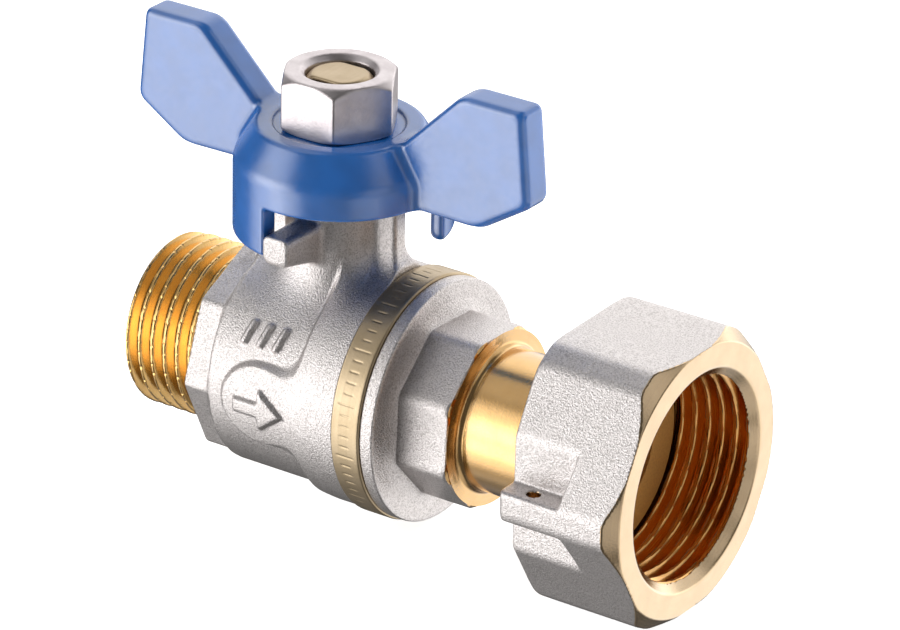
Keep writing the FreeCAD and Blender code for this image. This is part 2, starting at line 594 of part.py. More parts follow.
def union_gasket():
    """The flat gasket at the end of the tail."""
    end_x = TAIL_END_X + GASKET_THICKNESS
    return turned_about_x([(TAIL_END_X, GASKET_INNER_R), (TAIL_END_X, GASKET_OUTER_R),
                           (end_x, GASKET_OUTER_R), (end_x, GASKET_INNER_R)])


# ---- write one file per node -----------------------------------------------------------------

def main():
    nodes = {
        "valve_body": valve_body(),
        "end_cap": end_cap(),
        "cap_seal_ring": cap_seal_ring(),
        "ball": ball(),
        "seat_inlet": seat(-1),
        "seat_outlet": seat(1),
        "stem": stem(),
        "stem_thrust_washer": stem_thrust_washer(),
        "handle_nut": handle_nut(),
        "handle": handle(),
        "union_nut": union_nut(),
        "retaining_ring": retaining_ring(),
        "union_gasket": union_gasket(),
    }
    for name, height in ORING_HEIGHTS.items():
        nodes[name] = stem_oring(height)
    os.makedirs("parts", exist_ok=True)
    for name, shape in nodes.items():
        print(f"{name:20s} valid {shape.isValid()} solids {len(shape.Solids)} volume {shape.Volume:9.2f}")
        shape.exportStep(f"parts/{name}.step")


main()
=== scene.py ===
import math

import bpy
import numpy as np
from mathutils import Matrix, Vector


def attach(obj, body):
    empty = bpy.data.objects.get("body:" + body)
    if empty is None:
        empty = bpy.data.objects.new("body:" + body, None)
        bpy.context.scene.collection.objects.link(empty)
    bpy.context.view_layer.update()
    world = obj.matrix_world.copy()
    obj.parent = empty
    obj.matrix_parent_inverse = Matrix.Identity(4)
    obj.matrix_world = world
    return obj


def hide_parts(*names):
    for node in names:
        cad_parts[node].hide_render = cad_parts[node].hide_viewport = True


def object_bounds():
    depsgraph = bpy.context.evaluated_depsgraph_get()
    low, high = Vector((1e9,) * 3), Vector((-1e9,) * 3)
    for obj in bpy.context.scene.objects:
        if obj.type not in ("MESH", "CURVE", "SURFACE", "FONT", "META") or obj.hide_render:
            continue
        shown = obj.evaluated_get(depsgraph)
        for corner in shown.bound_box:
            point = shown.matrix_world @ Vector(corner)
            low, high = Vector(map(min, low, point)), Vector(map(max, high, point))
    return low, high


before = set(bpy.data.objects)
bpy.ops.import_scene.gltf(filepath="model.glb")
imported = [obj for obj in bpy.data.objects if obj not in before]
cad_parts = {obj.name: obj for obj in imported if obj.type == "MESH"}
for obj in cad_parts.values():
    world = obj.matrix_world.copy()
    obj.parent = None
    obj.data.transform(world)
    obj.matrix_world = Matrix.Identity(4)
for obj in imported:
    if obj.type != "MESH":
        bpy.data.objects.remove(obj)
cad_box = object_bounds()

import openvdb
from mathutils import Matrix, Vector

# A water shutoff ball valve. Shapes are worked out in millimetres in the row frame: +X along the
# pipe from the inlet's end face, +Z up the stem, and the front of the valve faces -Y.
MM = 0.001

# ---- driving dimensions, as in the CAD ---------------------------------------------------------

# Places along the pipe.
STEM_X = 23.4
BODY_OCTAGON_X = 11.1
SEAT_X = 14.15
BARREL_X = 14.5
COLLAR_X = 33.1
SEAL_POCKET_X = 35.6
BODY_END_X = 36.9
CAP_NOSE_X = 30.0
CAP_SEAT_X = 32.65
CAP_OCTAGON_X = 38.65
TAIL_X = 46.15
NUT_BACK_X = 57.8
NUT_WALL_X = 59.9
RING_X = 59.95
TAIL_END_X = 61.7
NUT_MOUTH_X = 71.95
NUT_FRONT_X = 73.0

# Radii about the pipe.
BORE_R = 6.75
SEAT_POCKET_R = 9.65
CAVITY_R = 11.5
BARREL_R = 13.55
COLLAR_R = 14.75
FLANGE_R = 14.5
CAP_NOSE_R = 11.3
SEAL_LAND_R = 12.0
SEAL_POCKET_R = 13.2
TAIL_R = 8.5
RING_GROOVE_R = 7.65
RING_GROOVE_LENGTH = 1.15

# Both pipe threads.
G_PITCH = 1.814
THREAD_HALF_ANGLE = 27.5
THREAD_LAND = 0.30
THREAD_ROUND = 0.12
INLET_CREST_R = 10.4775
INLET_ROOT_R = 9.3155
OUTLET_ROOT_R = 13.2
OUTLET_DEPTH = 1.14

# Flats: distance from the axis, and the angle of one flat from +Z.
BODY_APOTHEM = 12.2
BODY_TURN = 25.5
CAP_APOTHEM = 10.2
CAP_TURN = 42.5
HEX_APOTHEM = 15.97
HEX_CORNER_CUT = 17.6
HEX_TURN = 1.0

# Cones that chamfer flats: radius at the face, and radius lost per millimetre along the pipe.
CAP_CONE_R = 9.95
CAP_CONE_SLOPE = 2.4
FRONT_CONE_R = 16.1
NUT_CONE_SLOPE = 1.05

# The hole of the seal eye, which runs along Z through the nut's edge.
EYE_HOLE_X = 61.4
EYE_HOLE_Y = -15.7
EYE_HOLE_R = 0.8

# Stem, neck and the lug that stops the handle.
NECK_R = 6.1
NECK_TOP_Z = 23.0
STEM_R = 4.0
STEM_BORE_R = 4.05
STEM_HEAD_R = 5.2
STEM_HEAD_Z = 11.15
STEM_HEAD_TOP_Z = 12.9
STEM_SHOULDER_Z = 25.2
STEM_TOP_Z = 36.9
STEM_FLAT_HALF = 2.8
HEAD_POCKET_R = 5.4
HEAD_POCKET_TOP_Z = 13.75
RIB_REACH = 8.8
RIB_HALF_WIDTH = 1.2
RIB_TOP_Z = 22.4
STOP_HALF_WIDTH = 1.8
STOP_TOP_Z = 20.6
STOP_END_Y = -12.4
STOP_UNDERSIDE = ((STOP_END_Y, 17.25), (-6.3, 15.85))

# Handle and its nut.
SKIRT_R = 12.15
SKIRT_INNER_R = 9.6
SKIRT_BOTTOM_Z = 23.53
RIM_Z = 31.0
RECESS_R = 7.65
RECESS_TAPER = 0.25
RECESS_Z = 30.6
WING_HALF_THICKNESS = 2.25
WING_OUTLINE = [(7.0, 23.7), (20.5, 23.4), (27.4, 27.8), (26.3, 39.1), (17.9, 39.1), (7.0, 28.4)]
NUT_HALF_FLATS = 6.35
NUT_TOP_Z = 37.35


# ---- surfaces as distances ---------------------------------------------------------------------

# A distance is below 0 inside a shape. k, the first or the last value that these functions take, is
# the size of the rounding, in millimetres unless a comment says otherwise.

def soft_min(a, b, k):
    """The lower of two distances, with the crease between them rounded over about k."""
    h = np.maximum(k - np.abs(a - b), 0.0)
    return np.minimum(a, b) - h * h / (4.0 * k)


def soft_max(a, b, k):
    """The higher of two distances, with the edge between them rounded over about k."""
    return -soft_min(-a, -b, k)


def soft_intersection(k, *distances):
    """What lies inside every one of several surfaces, with rounded edges."""
    result = distances[0]
    for distance in distances[1:]:
        result = soft_max(result, distance, k)
    return result


def smooth_step(value):
    """0 below 0, 1 above 1 and a smooth rise between."""
    t = np.clip(value, 0.0, 1.0)
    return t * t * (3.0 - 2.0 * t)


def polygon_distance(sides, apothem, turn, across, up, k):
    """Distance from a regular bar, from two distances off its axis; turn is a flat's angle from up."""
    result = None
    for side in range(sides):
        angle = math.radians(turn + 360.0 * side / sides)
        flat = -math.sin(angle) * across + math.cos(angle) * up - apothem
        result = flat if result is None else soft_max(result, flat, k)
    return result


def cone_distance(rho, height, radius, normal):
    """Distance from a cone with a given radius at height 0; normal is (away from axis, along height)."""
    return (rho - radius) * normal[0] + height * normal[1]


def half_plane(u, v, start, end):
    """Distance to the right of the line from start to end, in the (u, v) plane."""
    du = end[0] - start[0]
    dv = end[1] - start[1]
    return ((u - start[0]) * dv - (v - start[1]) * du) / math.hypot(du, dv)


# ---- meshes ------------------------------------------------------------------------------------

# Each grid is the low and the high corner of the box in which a surface is looked for, and its step.
BODY_GRID = ((10.5, -15.4, -15.4), (33.7, 15.4, 23.7), 0.262)
UNION_NUT_GRID = ((57.2, -18.6, -18.6), (73.6, 18.6, 18.6), 0.24)
HANDLE_GRID = ((-4.8, -14.2, 17.0), (51.6, 14.2, 39.8), 0.225)
HANDLE_NUT_GRID = ((15.4, -8.0, 30.0), (31.4, 8.0, 37.9), 0.12)
STEM_GRID = ((17.8, -5.7, 7.6), (29.0, 5.7, 37.4), 0.13)

# How many points a turned piece has round the pipe, and the longest step along its section.
INLET_AROUND = 560
COLLAR_AROUND = 1080
COLLAR_STEP = 0.17
CAP_AROUND = 312
CAP_STEP = 0.29
OUTLET_AROUND = 360
OUTLET_STEP = 0.105

GRADIENT_STEP = 0.02
NEWTON_STEPS = 4
FLATTEST_SLOPE = 0.5
SHARP_ANGLE = 40.0
NEARLY_STRAIGHT = 0.01


def gradient(sdf, points):
    """The slope of a distance function at each point."""
    slope = np.empty_like(points)
    for axis in range(3):
        step = np.zeros(3)
        step[axis] = GRADIENT_STEP
        ahead = sdf(*(points + step).T)
        behind = sdf(*(points - step).T)
        slope[:, axis] = (ahead - behind) / (2 * GRADIENT_STEP)
    return slope


def new_piece(name, points, faces, material):
    """A smooth-shaded object from points in millimetres."""
    mesh = bpy.data.meshes.new(name)
    mesh.vertices.add(len(points))
    mesh.vertices.foreach_set("co", (points * MM).astype(np.float32).ravel())
    sides = faces.shape[1]
    mesh.loops.add(faces.size)
    mesh.loops.foreach_set("vertex_index", faces.astype(np.int32).ravel())
    mesh.polygons.add(len(faces))
    mesh.polygons.foreach_set("loop_start", np.arange(0, faces.size, sides, dtype=np.int32))
    mesh.update(calc_edges=True)
    mesh.validate()
    mesh.shade_smooth()
    mesh.materials.append(material)
    piece = bpy.data.objects.new(name, mesh)
    bpy.context.scene.collection.objects.link(piece)
    return piece


def mesh_from_sdf(name, sdf, low, high, voxel, material):
    """The closed surface where sdf(x, y, z) is zero, found on a grid and then moved onto it."""
    axes = [np.arange(start, end + voxel, voxel, dtype=np.float32) for start, end in zip(low, high)]
    x, y, z = np.meshgrid(*axes, indexing="ij", sparse=True)
    shape = tuple(len(axis) for axis in axes)
    band = 3.0 * voxel
    values = np.clip(np.broadcast_to(sdf(x, y, z), shape), -band, band).astype(np.float32)
    grid = openvdb.FloatGrid(background=band)
    grid.copyFromArray(np.ascontiguousarray(values))
    corners, quads = grid.convertToQuads(isovalue=0.0)
    points = np.asarray(corners, np.float64) * voxel + np.asarray(low)
    for _ in range(NEWTON_STEPS):
        slope = gradient(sdf, points)
        square = np.maximum((slope ** 2).sum(axis=1), FLATTEST_SLOPE ** 2)
        move = np.clip(sdf(*points.T) / square, -voxel / 2, voxel / 2)
        points -= move[:, None] * slope
    faces = np.asarray(quads, np.int64)
    slope = gradient(sdf, points)
    corner = points[faces]
    facing = np.cross(corner[:, 2] - corner[:, 0], corner[:, 3] - corner[:, 1])
    if (facing * slope[faces[:, 0]]).sum() < 0:
        faces = faces[:, ::-1]
    piece = new_piece(name, points, faces, material)
    normals = slope / np.maximum(np.linalg.norm(slope, axis=1), 1e-9)[:, None]
    piece.data.normals_split_custom_set_from_vertices(normals.tolist())
    return piece


def rounded_section(corners, arc_step=0.12):
    """A closed loop of (x, r) points through corners of (x, r, fillet radius)."""
    loop = []
    count = len(corners)
    for k in range(count):
        here = np.array(corners[k][:2], float)
        before = np.array(corners[k - 1][:2], float)
        after = np.array(corners[(k + 1) % count][:2], float)
        radius = corners[k][2]
        back = (before - here) / np.linalg.norm(before - here)
        ahead = (after - here) / np.linalg.norm(after - here)
        half = math.acos(max(-1.0, min(1.0, float(back @ ahead)))) / 2
        if radius <= 0 or half > math.pi / 2 - NEARLY_STRAIGHT:
            loop.append(here)
            continue
        reach = radius / math.tan(half)
        centre = here + (back + ahead) / np.linalg.norm(back + ahead) * radius / math.sin(half)
        first = here + back * reach - centre
        last = here + ahead * reach - centre
        turn = math.pi - 2 * half
        sign = 1.0 if first[0] * last[1] > first[1] * last[0] else -1.0
        steps = max(2, int(math.ceil(turn * radius / arc_step)))
        for step in range(steps + 1):
            angle = sign * turn * step / steps
            cosine = math.cos(angle)
            sine = math.sin(angle)
            loop.append(centre + np.array([first[0] * cosine - first[1] * sine,
                                           first[0] * sine + first[1] * cosine]))
    return np.array(loop)


def divided(loop, longest):
    """The same loop with its long sides cut into steps of at most a given length."""
    points = []
    for k in range(len(loop)):
        start = loop[k]
        end = loop[(k + 1) % len(loop)]
        steps = max(1, int(math.ceil(np.linalg.norm(end - start) / longest)))
        for step in range(steps):
            points.append(start + (end - start) * step / steps)
    return np.array(points)


def turned_piece(name, section, around, material, shaped):
    """A closed ring with an (x, r) section; shaped(x, r, phi) gives each point's own radius."""
    phi = np.arange(around) * 2 * math.pi / around
    x = np.repeat(section[:, :1], around, axis=1)
    r = np.repeat(section[:, 1:], around, axis=1)
    angle = np.repeat(phi[None, :], len(section), axis=0)
    r = shaped(x, r, angle)
    points = np.stack([x, -r * np.sin(angle), r * np.cos(angle)], axis=-1).reshape(-1, 3)
    row = np.arange(len(section))[:, None] * around
    next_row = np.roll(np.arange(len(section)), -1)[:, None] * around
    column = np.arange(around)[None, :]
    next_column = np.roll(np.arange(around), -1)[None, :]
    faces = np.stack([row + column, next_row + column, next_row + next_column, row + next_column],
                     axis=-1).reshape(-1, 4)
    after = np.roll(section, -1, axis=0)
    area = float(np.sum(section[:, 0] * after[:, 1] - after[:, 0] * section[:, 1]))
    if area > 0:
        faces = faces[:, ::-1]
    piece = new_piece(name, points, faces, material)
    piece.data.set_sharp_from_angle(angle=math.radians(SHARP_ANGLE))
    return piece


# ---- materials ---------------------------------------------------------------------------------

class Shader:
    """Builds one material's node tree."""

    def __init__(self, name):
        self.material = bpy.data.materials.new(name)
        self.material.use_nodes = True
        self.tree = self.material.node_tree
        self.tree.nodes.clear()
        self.output = self.tree.nodes.new("ShaderNodeOutputMaterial")
        self.where = self.tree.nodes.new("ShaderNodeTexCoord").outputs["Object"]

    def node(self, kind, settings=None, **inputs):
        """Adds a node; its inputs, named or numbered i0, i1 and so on, take values or outputs."""
        made = self.tree.nodes.new(kind)
        for key, value in (settings or {}).items():
            setattr(made, key, value)
        for key, value in inputs.items():
            numbered = key[0] == "i" and key[1:].isdigit()
            socket = made.inputs[int(key[1:]) if numbered else key.replace("_", " ")]
            if isinstance(value, bpy.types.NodeSocket):
                self.tree.links.new(value, socket)
            else:
                socket.default_value = value
        return made

    def noise(self, size_mm, detail=2.0, roughness=0.5, stretch=(1.0, 1.0, 1.0)):
        """Noise whose grains are about size_mm across."""
        moved = self.node("ShaderNodeMapping", Vector=self.where, Scale=stretch)
        made = self.node("ShaderNodeTexNoise", Vector=moved.outputs["Vector"], Scale=1.0 / (size_mm * MM),
                         Detail=detail, Roughness=roughness)
        return made.outputs["Fac"]

    def ramp(self, value, *stops):
        """A colour ramp with stops of (place, colour)."""
        made = self.node("ShaderNodeValToRGB", Fac=value)
        elements = made.color_ramp.elements
        while len(elements) < len(stops):
            elements.new(0.5)
        for element, (place, colour) in zip(elements, stops):
            element.position = place
            element.color = (*colour, 1.0)
        return made.outputs["Color"]

    def span(self, value, low, high, to_low, to_high):
        """Takes a value from one range to another."""
        made = self.node("ShaderNodeMapRange", Value=value, From_Min=low, From_Max=high,
                         To_Min=to_low, To_Max=to_high)
        return made.outputs["Result"]

    def mix(self, share, first, second):
        """Mixes two colours."""
        made = self.node("ShaderNodeMix", {"data_type": "RGBA"}, i0=share, i6=first, i7=second)
        return made.outputs[2]

    def math(self, operation, first, second):
        """One step of arithmetic on two numbers."""
        made = self.node("ShaderNodeMath", {"operation": operation}, i0=first, i1=second)
        return made.outputs[0]

    def length(self, first, second):
        """The long side of a right-angled triangle with two given short sides."""
        squares = [self.math("MULTIPLY", side, side) for side in (first, second)]
        return self.math("SQRT", self.math("ADD", *squares), 0.0)

    def largest(self, *values):
        """The largest of several numbers."""
        result = values[0]
        for value in values[1:]:
            result = self.math("MAXIMUM", result, value)
        return result

    def place(self):
        """x, y and the radius about the pipe, in millimetres."""
        apart = self.node("ShaderNodeSeparateXYZ", Vector=self.where)
        x, y, z = [self.math("MULTIPLY", apart.outputs[axis], 1 / MM) for axis in "XYZ"]
        return x, y, self.length(y, z)

    def rings(self, size_mm):
        """Turning marks: noise that changes only along the pipe and with the radius."""
        x, _, r = self.place()
        vector = self.node("ShaderNodeCombineXYZ", X=x, Y=r).outputs["Vector"]
        made = self.node("ShaderNodeTexNoise", Vector=vector, Scale=1.0 / size_mm, Detail=2.0)
        return made.outputs["Fac"]

    def bump(self, height, depth_mm, normal=None):
        """Turns a height from 0 to 1 into surface relief of a given depth."""
        inputs = {"Height": height, "Distance": depth_mm * MM, "Strength": 1.0}
        if normal is not None:
            inputs["Normal"] = normal
        return self.node("ShaderNodeBump", **inputs).outputs["Normal"]

    def finish(self, surface):
        """Makes a surface the material's own and returns the material."""
        self.tree.links.new(surface, self.output.inputs["Surface"])
        return self.material

    def principled(self, **inputs):
        """The general surface shader."""
        return self.node("ShaderNodeBsdfPrincipled", **inputs).outputs["BSDF"]


LACQUER_IOR = 1.9
LACQUER_ROUGHNESS = 0.15
NICKEL_PIT = (0.55, 0.515, 0.50)
NICKEL_PEAK = (0.88, 0.84, 0.83)
NICKEL_HAZE = (0.86, 0.82, 0.80, 1.0)
PLATED_TO_X = 42.0
BARE_BORE_R = 7.5
BARE_MOUTH_R = 13.45


def nickel_surface(shader):
    """Nickel plating over a sandblasted forging: a fine grain of bright and dark pits."""
    grain = shader.noise(0.19, detail=3.0, roughness=0.6)
    blotch = shader.noise(2.6, detail=2.0)
    colour = shader.ramp(grain, (0.36, NICKEL_PIT), (0.56, NICKEL_PEAK))
    colour = shader.mix(shader.span(blotch, 0.35, 0.7, 0.0, 0.25), colour, NICKEL_HAZE)
    roughness = shader.span(grain, 0.3, 0.7, 0.36, 0.28)
    normal = shader.bump(grain, 0.10)
    return shader.principled(Base_Color=colour, Metallic=1.0, Roughness=roughness, Normal=normal)


def machined_surface(shader, light, deep, roughness=0.2, turning=0.006, coat=1.0):
    """Machined metal with turning marks round the pipe's axis, under a clear lacquer."""
    marks = shader.rings(0.16)
    cloud = shader.noise(2.8, detail=3.0)
    colour = shader.ramp(cloud, (0.3, deep), (0.7, light))
    rough = shader.span(marks, 0.3, 0.7, roughness - 0.04, roughness + 0.06)
    normal = shader.bump(shader.noise(0.3, detail=2.0), 0.012, shader.bump(marks, turning))
    return shader.principled(Base_Color=colour, Metallic=1.0, Roughness=rough, Normal=normal,
                             Coat_Weight=coat, Coat_IOR=LACQUER_IOR, Coat_Roughness=LACQUER_ROUGHNESS)


def past_cone(shader, x, r, radius, slope, face_x):
    """Above 0 outside a cone that has a given radius at face_x and narrows along the pipe."""
    cone = shader.math("ADD", shader.math("MULTIPLY", x, slope), r)
    return shader.math("SUBTRACT", cone, radius + slope * face_x)


def cap_machined(shader):
    """Above 0 where the cap is bare: its chamfered end, the tail and the bore."""
    x, _, r = shader.place()
    chamfer = past_cone(shader, x, r, CAP_CONE_R - 0.1, CAP_CONE_SLOPE, TAIL_X)
    chamfer = shader.math("MINIMUM", chamfer, shader.math("SUBTRACT", x, PLATED_TO_X))
    tail = shader.math("SUBTRACT", x, TAIL_X - 0.05)
    bore = shader.math("SUBTRACT", BARE_BORE_R, r)
    return shader.largest(chamfer, tail, bore)


def nut_machined(shader):
    """Above 0 on the nut's machined front, in its bore and inside the seal eye's hole."""
    x, y, r = shader.place()
    cone = past_cone(shader, x, r, FRONT_CONE_R - 0.16, NUT_CONE_SLOPE, NUT_FRONT_X)
    front = shader.math("SUBTRACT", x, NUT_FRONT_X - 0.1)
    bore = shader.math("SUBTRACT", BARE_MOUTH_R, r)
    along = shader.math("SUBTRACT", x, EYE_HOLE_X)
    across = shader.math("SUBTRACT", y, EYE_HOLE_Y)
    eye = shader.math("SUBTRACT", EYE_HOLE_R + 0.04, shader.length(along, across))
    return shader.largest(cone, front, bore, eye)


def two_metals(name, machined, light, deep):
    """Nickel plate that gives way to bare brass where the piece was machined after plating."""
    shader = Shader(name)
    rough_edge = shader.span(shader.noise(0.5, detail=2.0), 0.3, 0.7, -0.04, 0.04)
    share = shader.span(shader.math("ADD", machined(shader), rough_edge), -0.03, 0.03, 0.0, 1.0)
    both = shader.node("ShaderNodeMixShader", Fac=share, i1=nickel_surface(shader),
                       i2=machined_surface(shader, light, deep))
    return shader.finish(both.outputs[0])


def plain_metal(name, surface, *colours, **options):
    """One metal all over."""
    shader = Shader(name)
    return shader.finish(surface(shader, *colours, **options))


def blue_coat():
    """A glossy blue coat with the faint waviness of a dipped or powdered finish."""
    shader = Shader("blue_coat")
    wave = shader.noise(3.0, detail=1.0)
    fine = shader.noise(0.5, detail=1.0)
    colour = shader.ramp(wave, (0.3, (0.008, 0.103, 0.37)), (0.7, (0.010, 0.122, 0.44)))
    normal = shader.bump(fine, 0.004, shader.bump(wave, 0.02))
    rough = shader.span(fine, 0.3, 0.7, 0.20, 0.27)
    return shader.finish(shader.principled(Base_Color=colour, Roughness=rough, Normal=normal, IOR=2.35))


def zinc_plate():
    """Bright zinc plate with a faint blue cast and light tool marks."""
    shader = Shader("zinc_plate")
    fine = shader.noise(0.3, detail=3.0)
    cloud = shader.noise(2.0, detail=2.0)
    colour = shader.ramp(cloud, (0.3, (0.65, 0.60, 0.61)), (0.7, (0.77, 0.72, 0.73)))
    rough = shader.span(fine, 0.3, 0.7, 0.34, 0.46)
    normal = shader.bump(fine, 0.015)
    return shader.finish(shader.principled(Base_Color=colour, Metallic=1.0, Roughness=rough, Normal=normal))


def soft_part(name, dark, light, roughness, grain_mm, depth_mm):
    """A non-metal part: seals, seats and gaskets."""
    shader = Shader(name)
    grain = shader.noise(grain_mm, detail=3.0)
    colour = shader.ramp(grain, (0.3, dark), (0.7, light))
    rough = shader.span(grain, 0.3, 0.7, roughness - 0.06, roughness + 0.06)
    normal = shader.bump(grain, depth_mm)
    return shader.finish(shader.principled(Base_Color=colour, Roughness=rough, Normal=normal))


def chrome():
    """Hard chrome on the ball, with fine lapping marks."""
    shader = Shader("chrome")
    fine = shader.noise(0.2, detail=2.0, stretch=(1.0, 1.0, 3.0))
    cloud = shader.noise(4.0)
    colour = shader.ramp(cloud, (0.3, (0.60, 0.61, 0.63)), (0.7, (0.72, 0.73, 0.75)))
    rough = shader.span(fine, 0.3, 0.7, 0.06, 0.13)
    normal = shader.bump(fine, 0.003)
    return shader.finish(shader.principled(Base_Color=colour, Metallic=1.0, Roughness=rough, Normal=normal))


# Each brass as (light, deep) colours: nut, collar and stem, cap, inlet thread, outlet thread. The outlet
# thread's brass is a redder, deeper orange than the nut's own: painted reflection of light bouncing round
# inside the nut's bore.
PALE_BRASS = ((0.80, 0.575, 0.32), (0.72, 0.505, 0.27))
DULL_BRASS = ((0.57, 0.45, 0.29), (0.49, 0.38, 0.23))
TAIL_BRASS = ((0.83, 0.49, 0.15), (0.75, 0.42, 0.11))
GOLD_BRASS = ((0.88, 0.53, 0.13), (0.82, 0.46, 0.09))
# Painted reflection: the nut's own brass, made redder and deeper for the light that bounces round inside
# its bore.
BRASS_WITH_PAINTED_BORE_REFLECTION = ((0.97, 0.50, 0.10), (0.93, 0.44, 0.07))
CAP_METALS = two_metals("cap_metals", cap_machined, *TAIL_BRASS)
NUT_METALS = two_metals("nut_metals", nut_machined, *PALE_BRASS)
INLET_BRASS = plain_metal("inlet_brass", machined_surface, *GOLD_BRASS, roughness=0.22, turning=0.006)
# The nut's thread takes the redder brass above: painted reflection of the light bouncing round in the nut's
# bore.
OUTLET_BRASS_WITH_PAINTED_REFLECTION = plain_metal("outlet_brass_with_painted_reflection", machined_surface, *BRASS_WITH_PAINTED_BORE_REFLECTION, roughness=0.22, turning=0.002)
COLLAR_BRASS = plain_metal("collar_brass", machined_surface, *DULL_BRASS, roughness=0.38,
                           turning=0.01, coat=0.2)
NICKEL = plain_metal("nickel", nickel_surface)
BLUE_COAT = blue_coat()
ZINC = zinc_plate()
CHROME = chrome()
PTFE = soft_part("ptfe", (0.78, 0.78, 0.76), (0.88, 0.88, 0.86), 0.42, 0.4, 0.01)
RUBBER = soft_part("rubber", (0.012, 0.012, 0.012), (0.03, 0.03, 0.03), 0.55, 0.3, 0.02)
FIBRE = soft_part("fibre", (0.42, 0.19, 0.04), (0.56, 0.28, 0.07), 0.6, 0.25, 0.03)
SPRING_STEEL = plain_metal("spring_steel", machined_surface, (0.55, 0.53, 0.50), (0.40, 0.39, 0.37))


# ---- valve body --------------------------------------------------------------------------------

# The inlet's thread: where its crest starts, its tapered lead, the blank it is cut from, its runout
# into the octagon, and the small nicks that follow its crest.
INLET_CREST_X = 0.72
INLET_START_ANGLE = 95.0
INLET_LEAD_R = 10.05
INLET_LEAD_SLOPE = 0.9
INLET_BLANK_R = 9.4
INLET_FACE_R = 8.3
INLET_SHAPED_FROM_R = 9.0
RUNOUT_X = 10.2
RUNOUT_LENGTH = 0.4
RUNOUT_R = 9.6
NICK_PITCH = 1.9
NICK_DEPTH = 0.11
NICK_LENGTH_SPREAD = 0.012
NICK_TURN_SPREAD = 0.010
NICK_WANDER = 0.4
NICK_WANDER_RATE = 1.3

# The higher level of the barrel: a round pad, joined to the outlet side by a curved step. u is
# measured along the pipe from the stem and s round the barrel from its top.
STEP_R = 14.0
PAD_U = -1.2
PAD_S = 22.2
PAD_R = 5.15
OUTLET_SIDE_U = 3.8
STEP_BLEND = 5.0
STEP_WIDTH = 0.9
PAD_RISE = 0.70
OUTLET_RISE = 0.30
OUTLET_RISE_U = 2.0
OUTLET_RISE_LENGTH = 4.5
PANEL_DEPTH = 0.05

# The flow arrow on the pad, in (u, distance from its middle line), and the bars above it, in (u, s).
ARROW_Z = -0.4
ARROW_TAIL_U = -4.3
ARROW_NECK_U = -0.9
ARROW_BARB = (-0.7, 2.5)
ARROW_TIP = (2.6, 0.0)
ARROW_HALF_WIDTH = 0.9
ARROW_TOP_R = 14.8
FIRST_BAR_U = -4.2
BARS_U = -2.1
BARS_S = 13.3
BARS_HALF_SPAN = 3.1
BAR_PITCH = 2.2
BAR_SLANT = 0.25
BAR_HALF_WIDTH = 0.42
BAR_HALF_LENGTH = 1.5
BAR_TOP_R = 14.0

MARKS_BACK_Y = -11.7
BARS_FLOOR_R = 12.5

# The octagon's chamfer at the inlet; the factor turns its radial distance into one square to it.
OCTAGON_CONE_R = 13.15
OCTAGON_CONE_SLOPE = 0.9
OCTAGON_CONE_FACTOR = 0.74
OCTAGON_END_X = 20.0
CAVITY_STEP = 2.75

# The engraved strokes round the collar, one every few degrees.
STROKE_STEP = 5.0
STROKES_PER_GROUP = 5
STROKE_END_LENGTH = 0.15
STROKE_X = 35.0
SHORT_STROKE_HALF = 0.6
LONG_STROKE_HALF = 1.1
STROKE_HALF_WIDTH = 0.10
STROKE_DEPTH = 0.06
COLLAR_INNER_R = 12.6
COLLAR_SHAPED_FROM_R = 14.5


def thread_depth(turns, root_depth, k):
    """Depth below the crest of a 55 degree pipe thread, from the turns along it."""
    apart = np.abs(turns - np.round(turns)) * G_PITCH
    flank = (apart - THREAD_LAND / 2) / math.tan(math.radians(THREAD_HALF_ANGLE))
    return soft_min(soft_max(flank, np.zeros_like(flank), k), np.full_like(flank, root_depth), k)


def inlet_radius(x, r, phi):
    """The inlet's right-hand thread, with its crests nicked all along the helix."""
    turns = (x - INLET_CREST_X) / G_PITCH - (phi - math.radians(INLET_START_ANGLE)) / (2 * math.pi)
    nearest = np.round(turns)
    thread = INLET_CREST_R - thread_depth(turns, INLET_CREST_R - INLET_ROOT_R, THREAD_ROUND)
    along = (phi + 2 * math.pi * nearest) * INLET_CREST_R
    uneven = along + NICK_WANDER * np.sin(NICK_WANDER_RATE * along)
    nick = np.exp(-(np.mod(uneven, NICK_PITCH) - NICK_PITCH / 2) ** 2 / NICK_LENGTH_SPREAD)
    thread -= NICK_DEPTH * nick * np.exp(-(turns - nearest) ** 2 / NICK_TURN_SPREAD)
    lead = INLET_LEAD_R + INLET_LEAD_SLOPE * x
    thread = soft_min(thread, lead, 0.2)
    thread = thread + (RUNOUT_R - thread) * smooth_step((x - RUNOUT_X) / RUNOUT_LENGTH)
    outside = smooth_step((r - INLET_SHAPED_FROM_R) / 0.1) * (x > -0.01)
    return r + (thread - r) * outside


def inlet_thread():
    """The threaded inlet, down to its face and into the bore."""
    outside = [(x, INLET_BLANK_R, 0.0) for x in np.linspace(0.0, BODY_OCTAGON_X, 148)]
    inside = [(x, BORE_R, 0.0) for x in np.linspace(BODY_OCTAGON_X, 1.0, 8)]
    section = rounded_section(outside + inside + [(0.0, BORE_R, 0.25), (0.0, INLET_FACE_R, 0.0)])
    return turned_piece("valve_body_inlet_thread", section, INLET_AROUND, INLET_BRASS, inlet_radius)


def barrel_radius(x, y, z):
    """The barrel's two levels: a low panel, and a higher round pad and outlet side."""
    u = x - STEM_X
    s = STEP_R * np.arctan2(np.abs(y), z)
    pad = np.hypot(u - PAD_U, s - PAD_S) - PAD_R
    raised = soft_min(pad, OUTLET_SIDE_U - u, STEP_BLEND)
    level = smooth_step(0.5 - raised / STEP_WIDTH)
    outlet = smooth_step((u - OUTLET_RISE_U) / OUTLET_RISE_LENGTH)
    return BARREL_R - PANEL_DEPTH + (PAD_RISE + OUTLET_RISE * outlet) * level


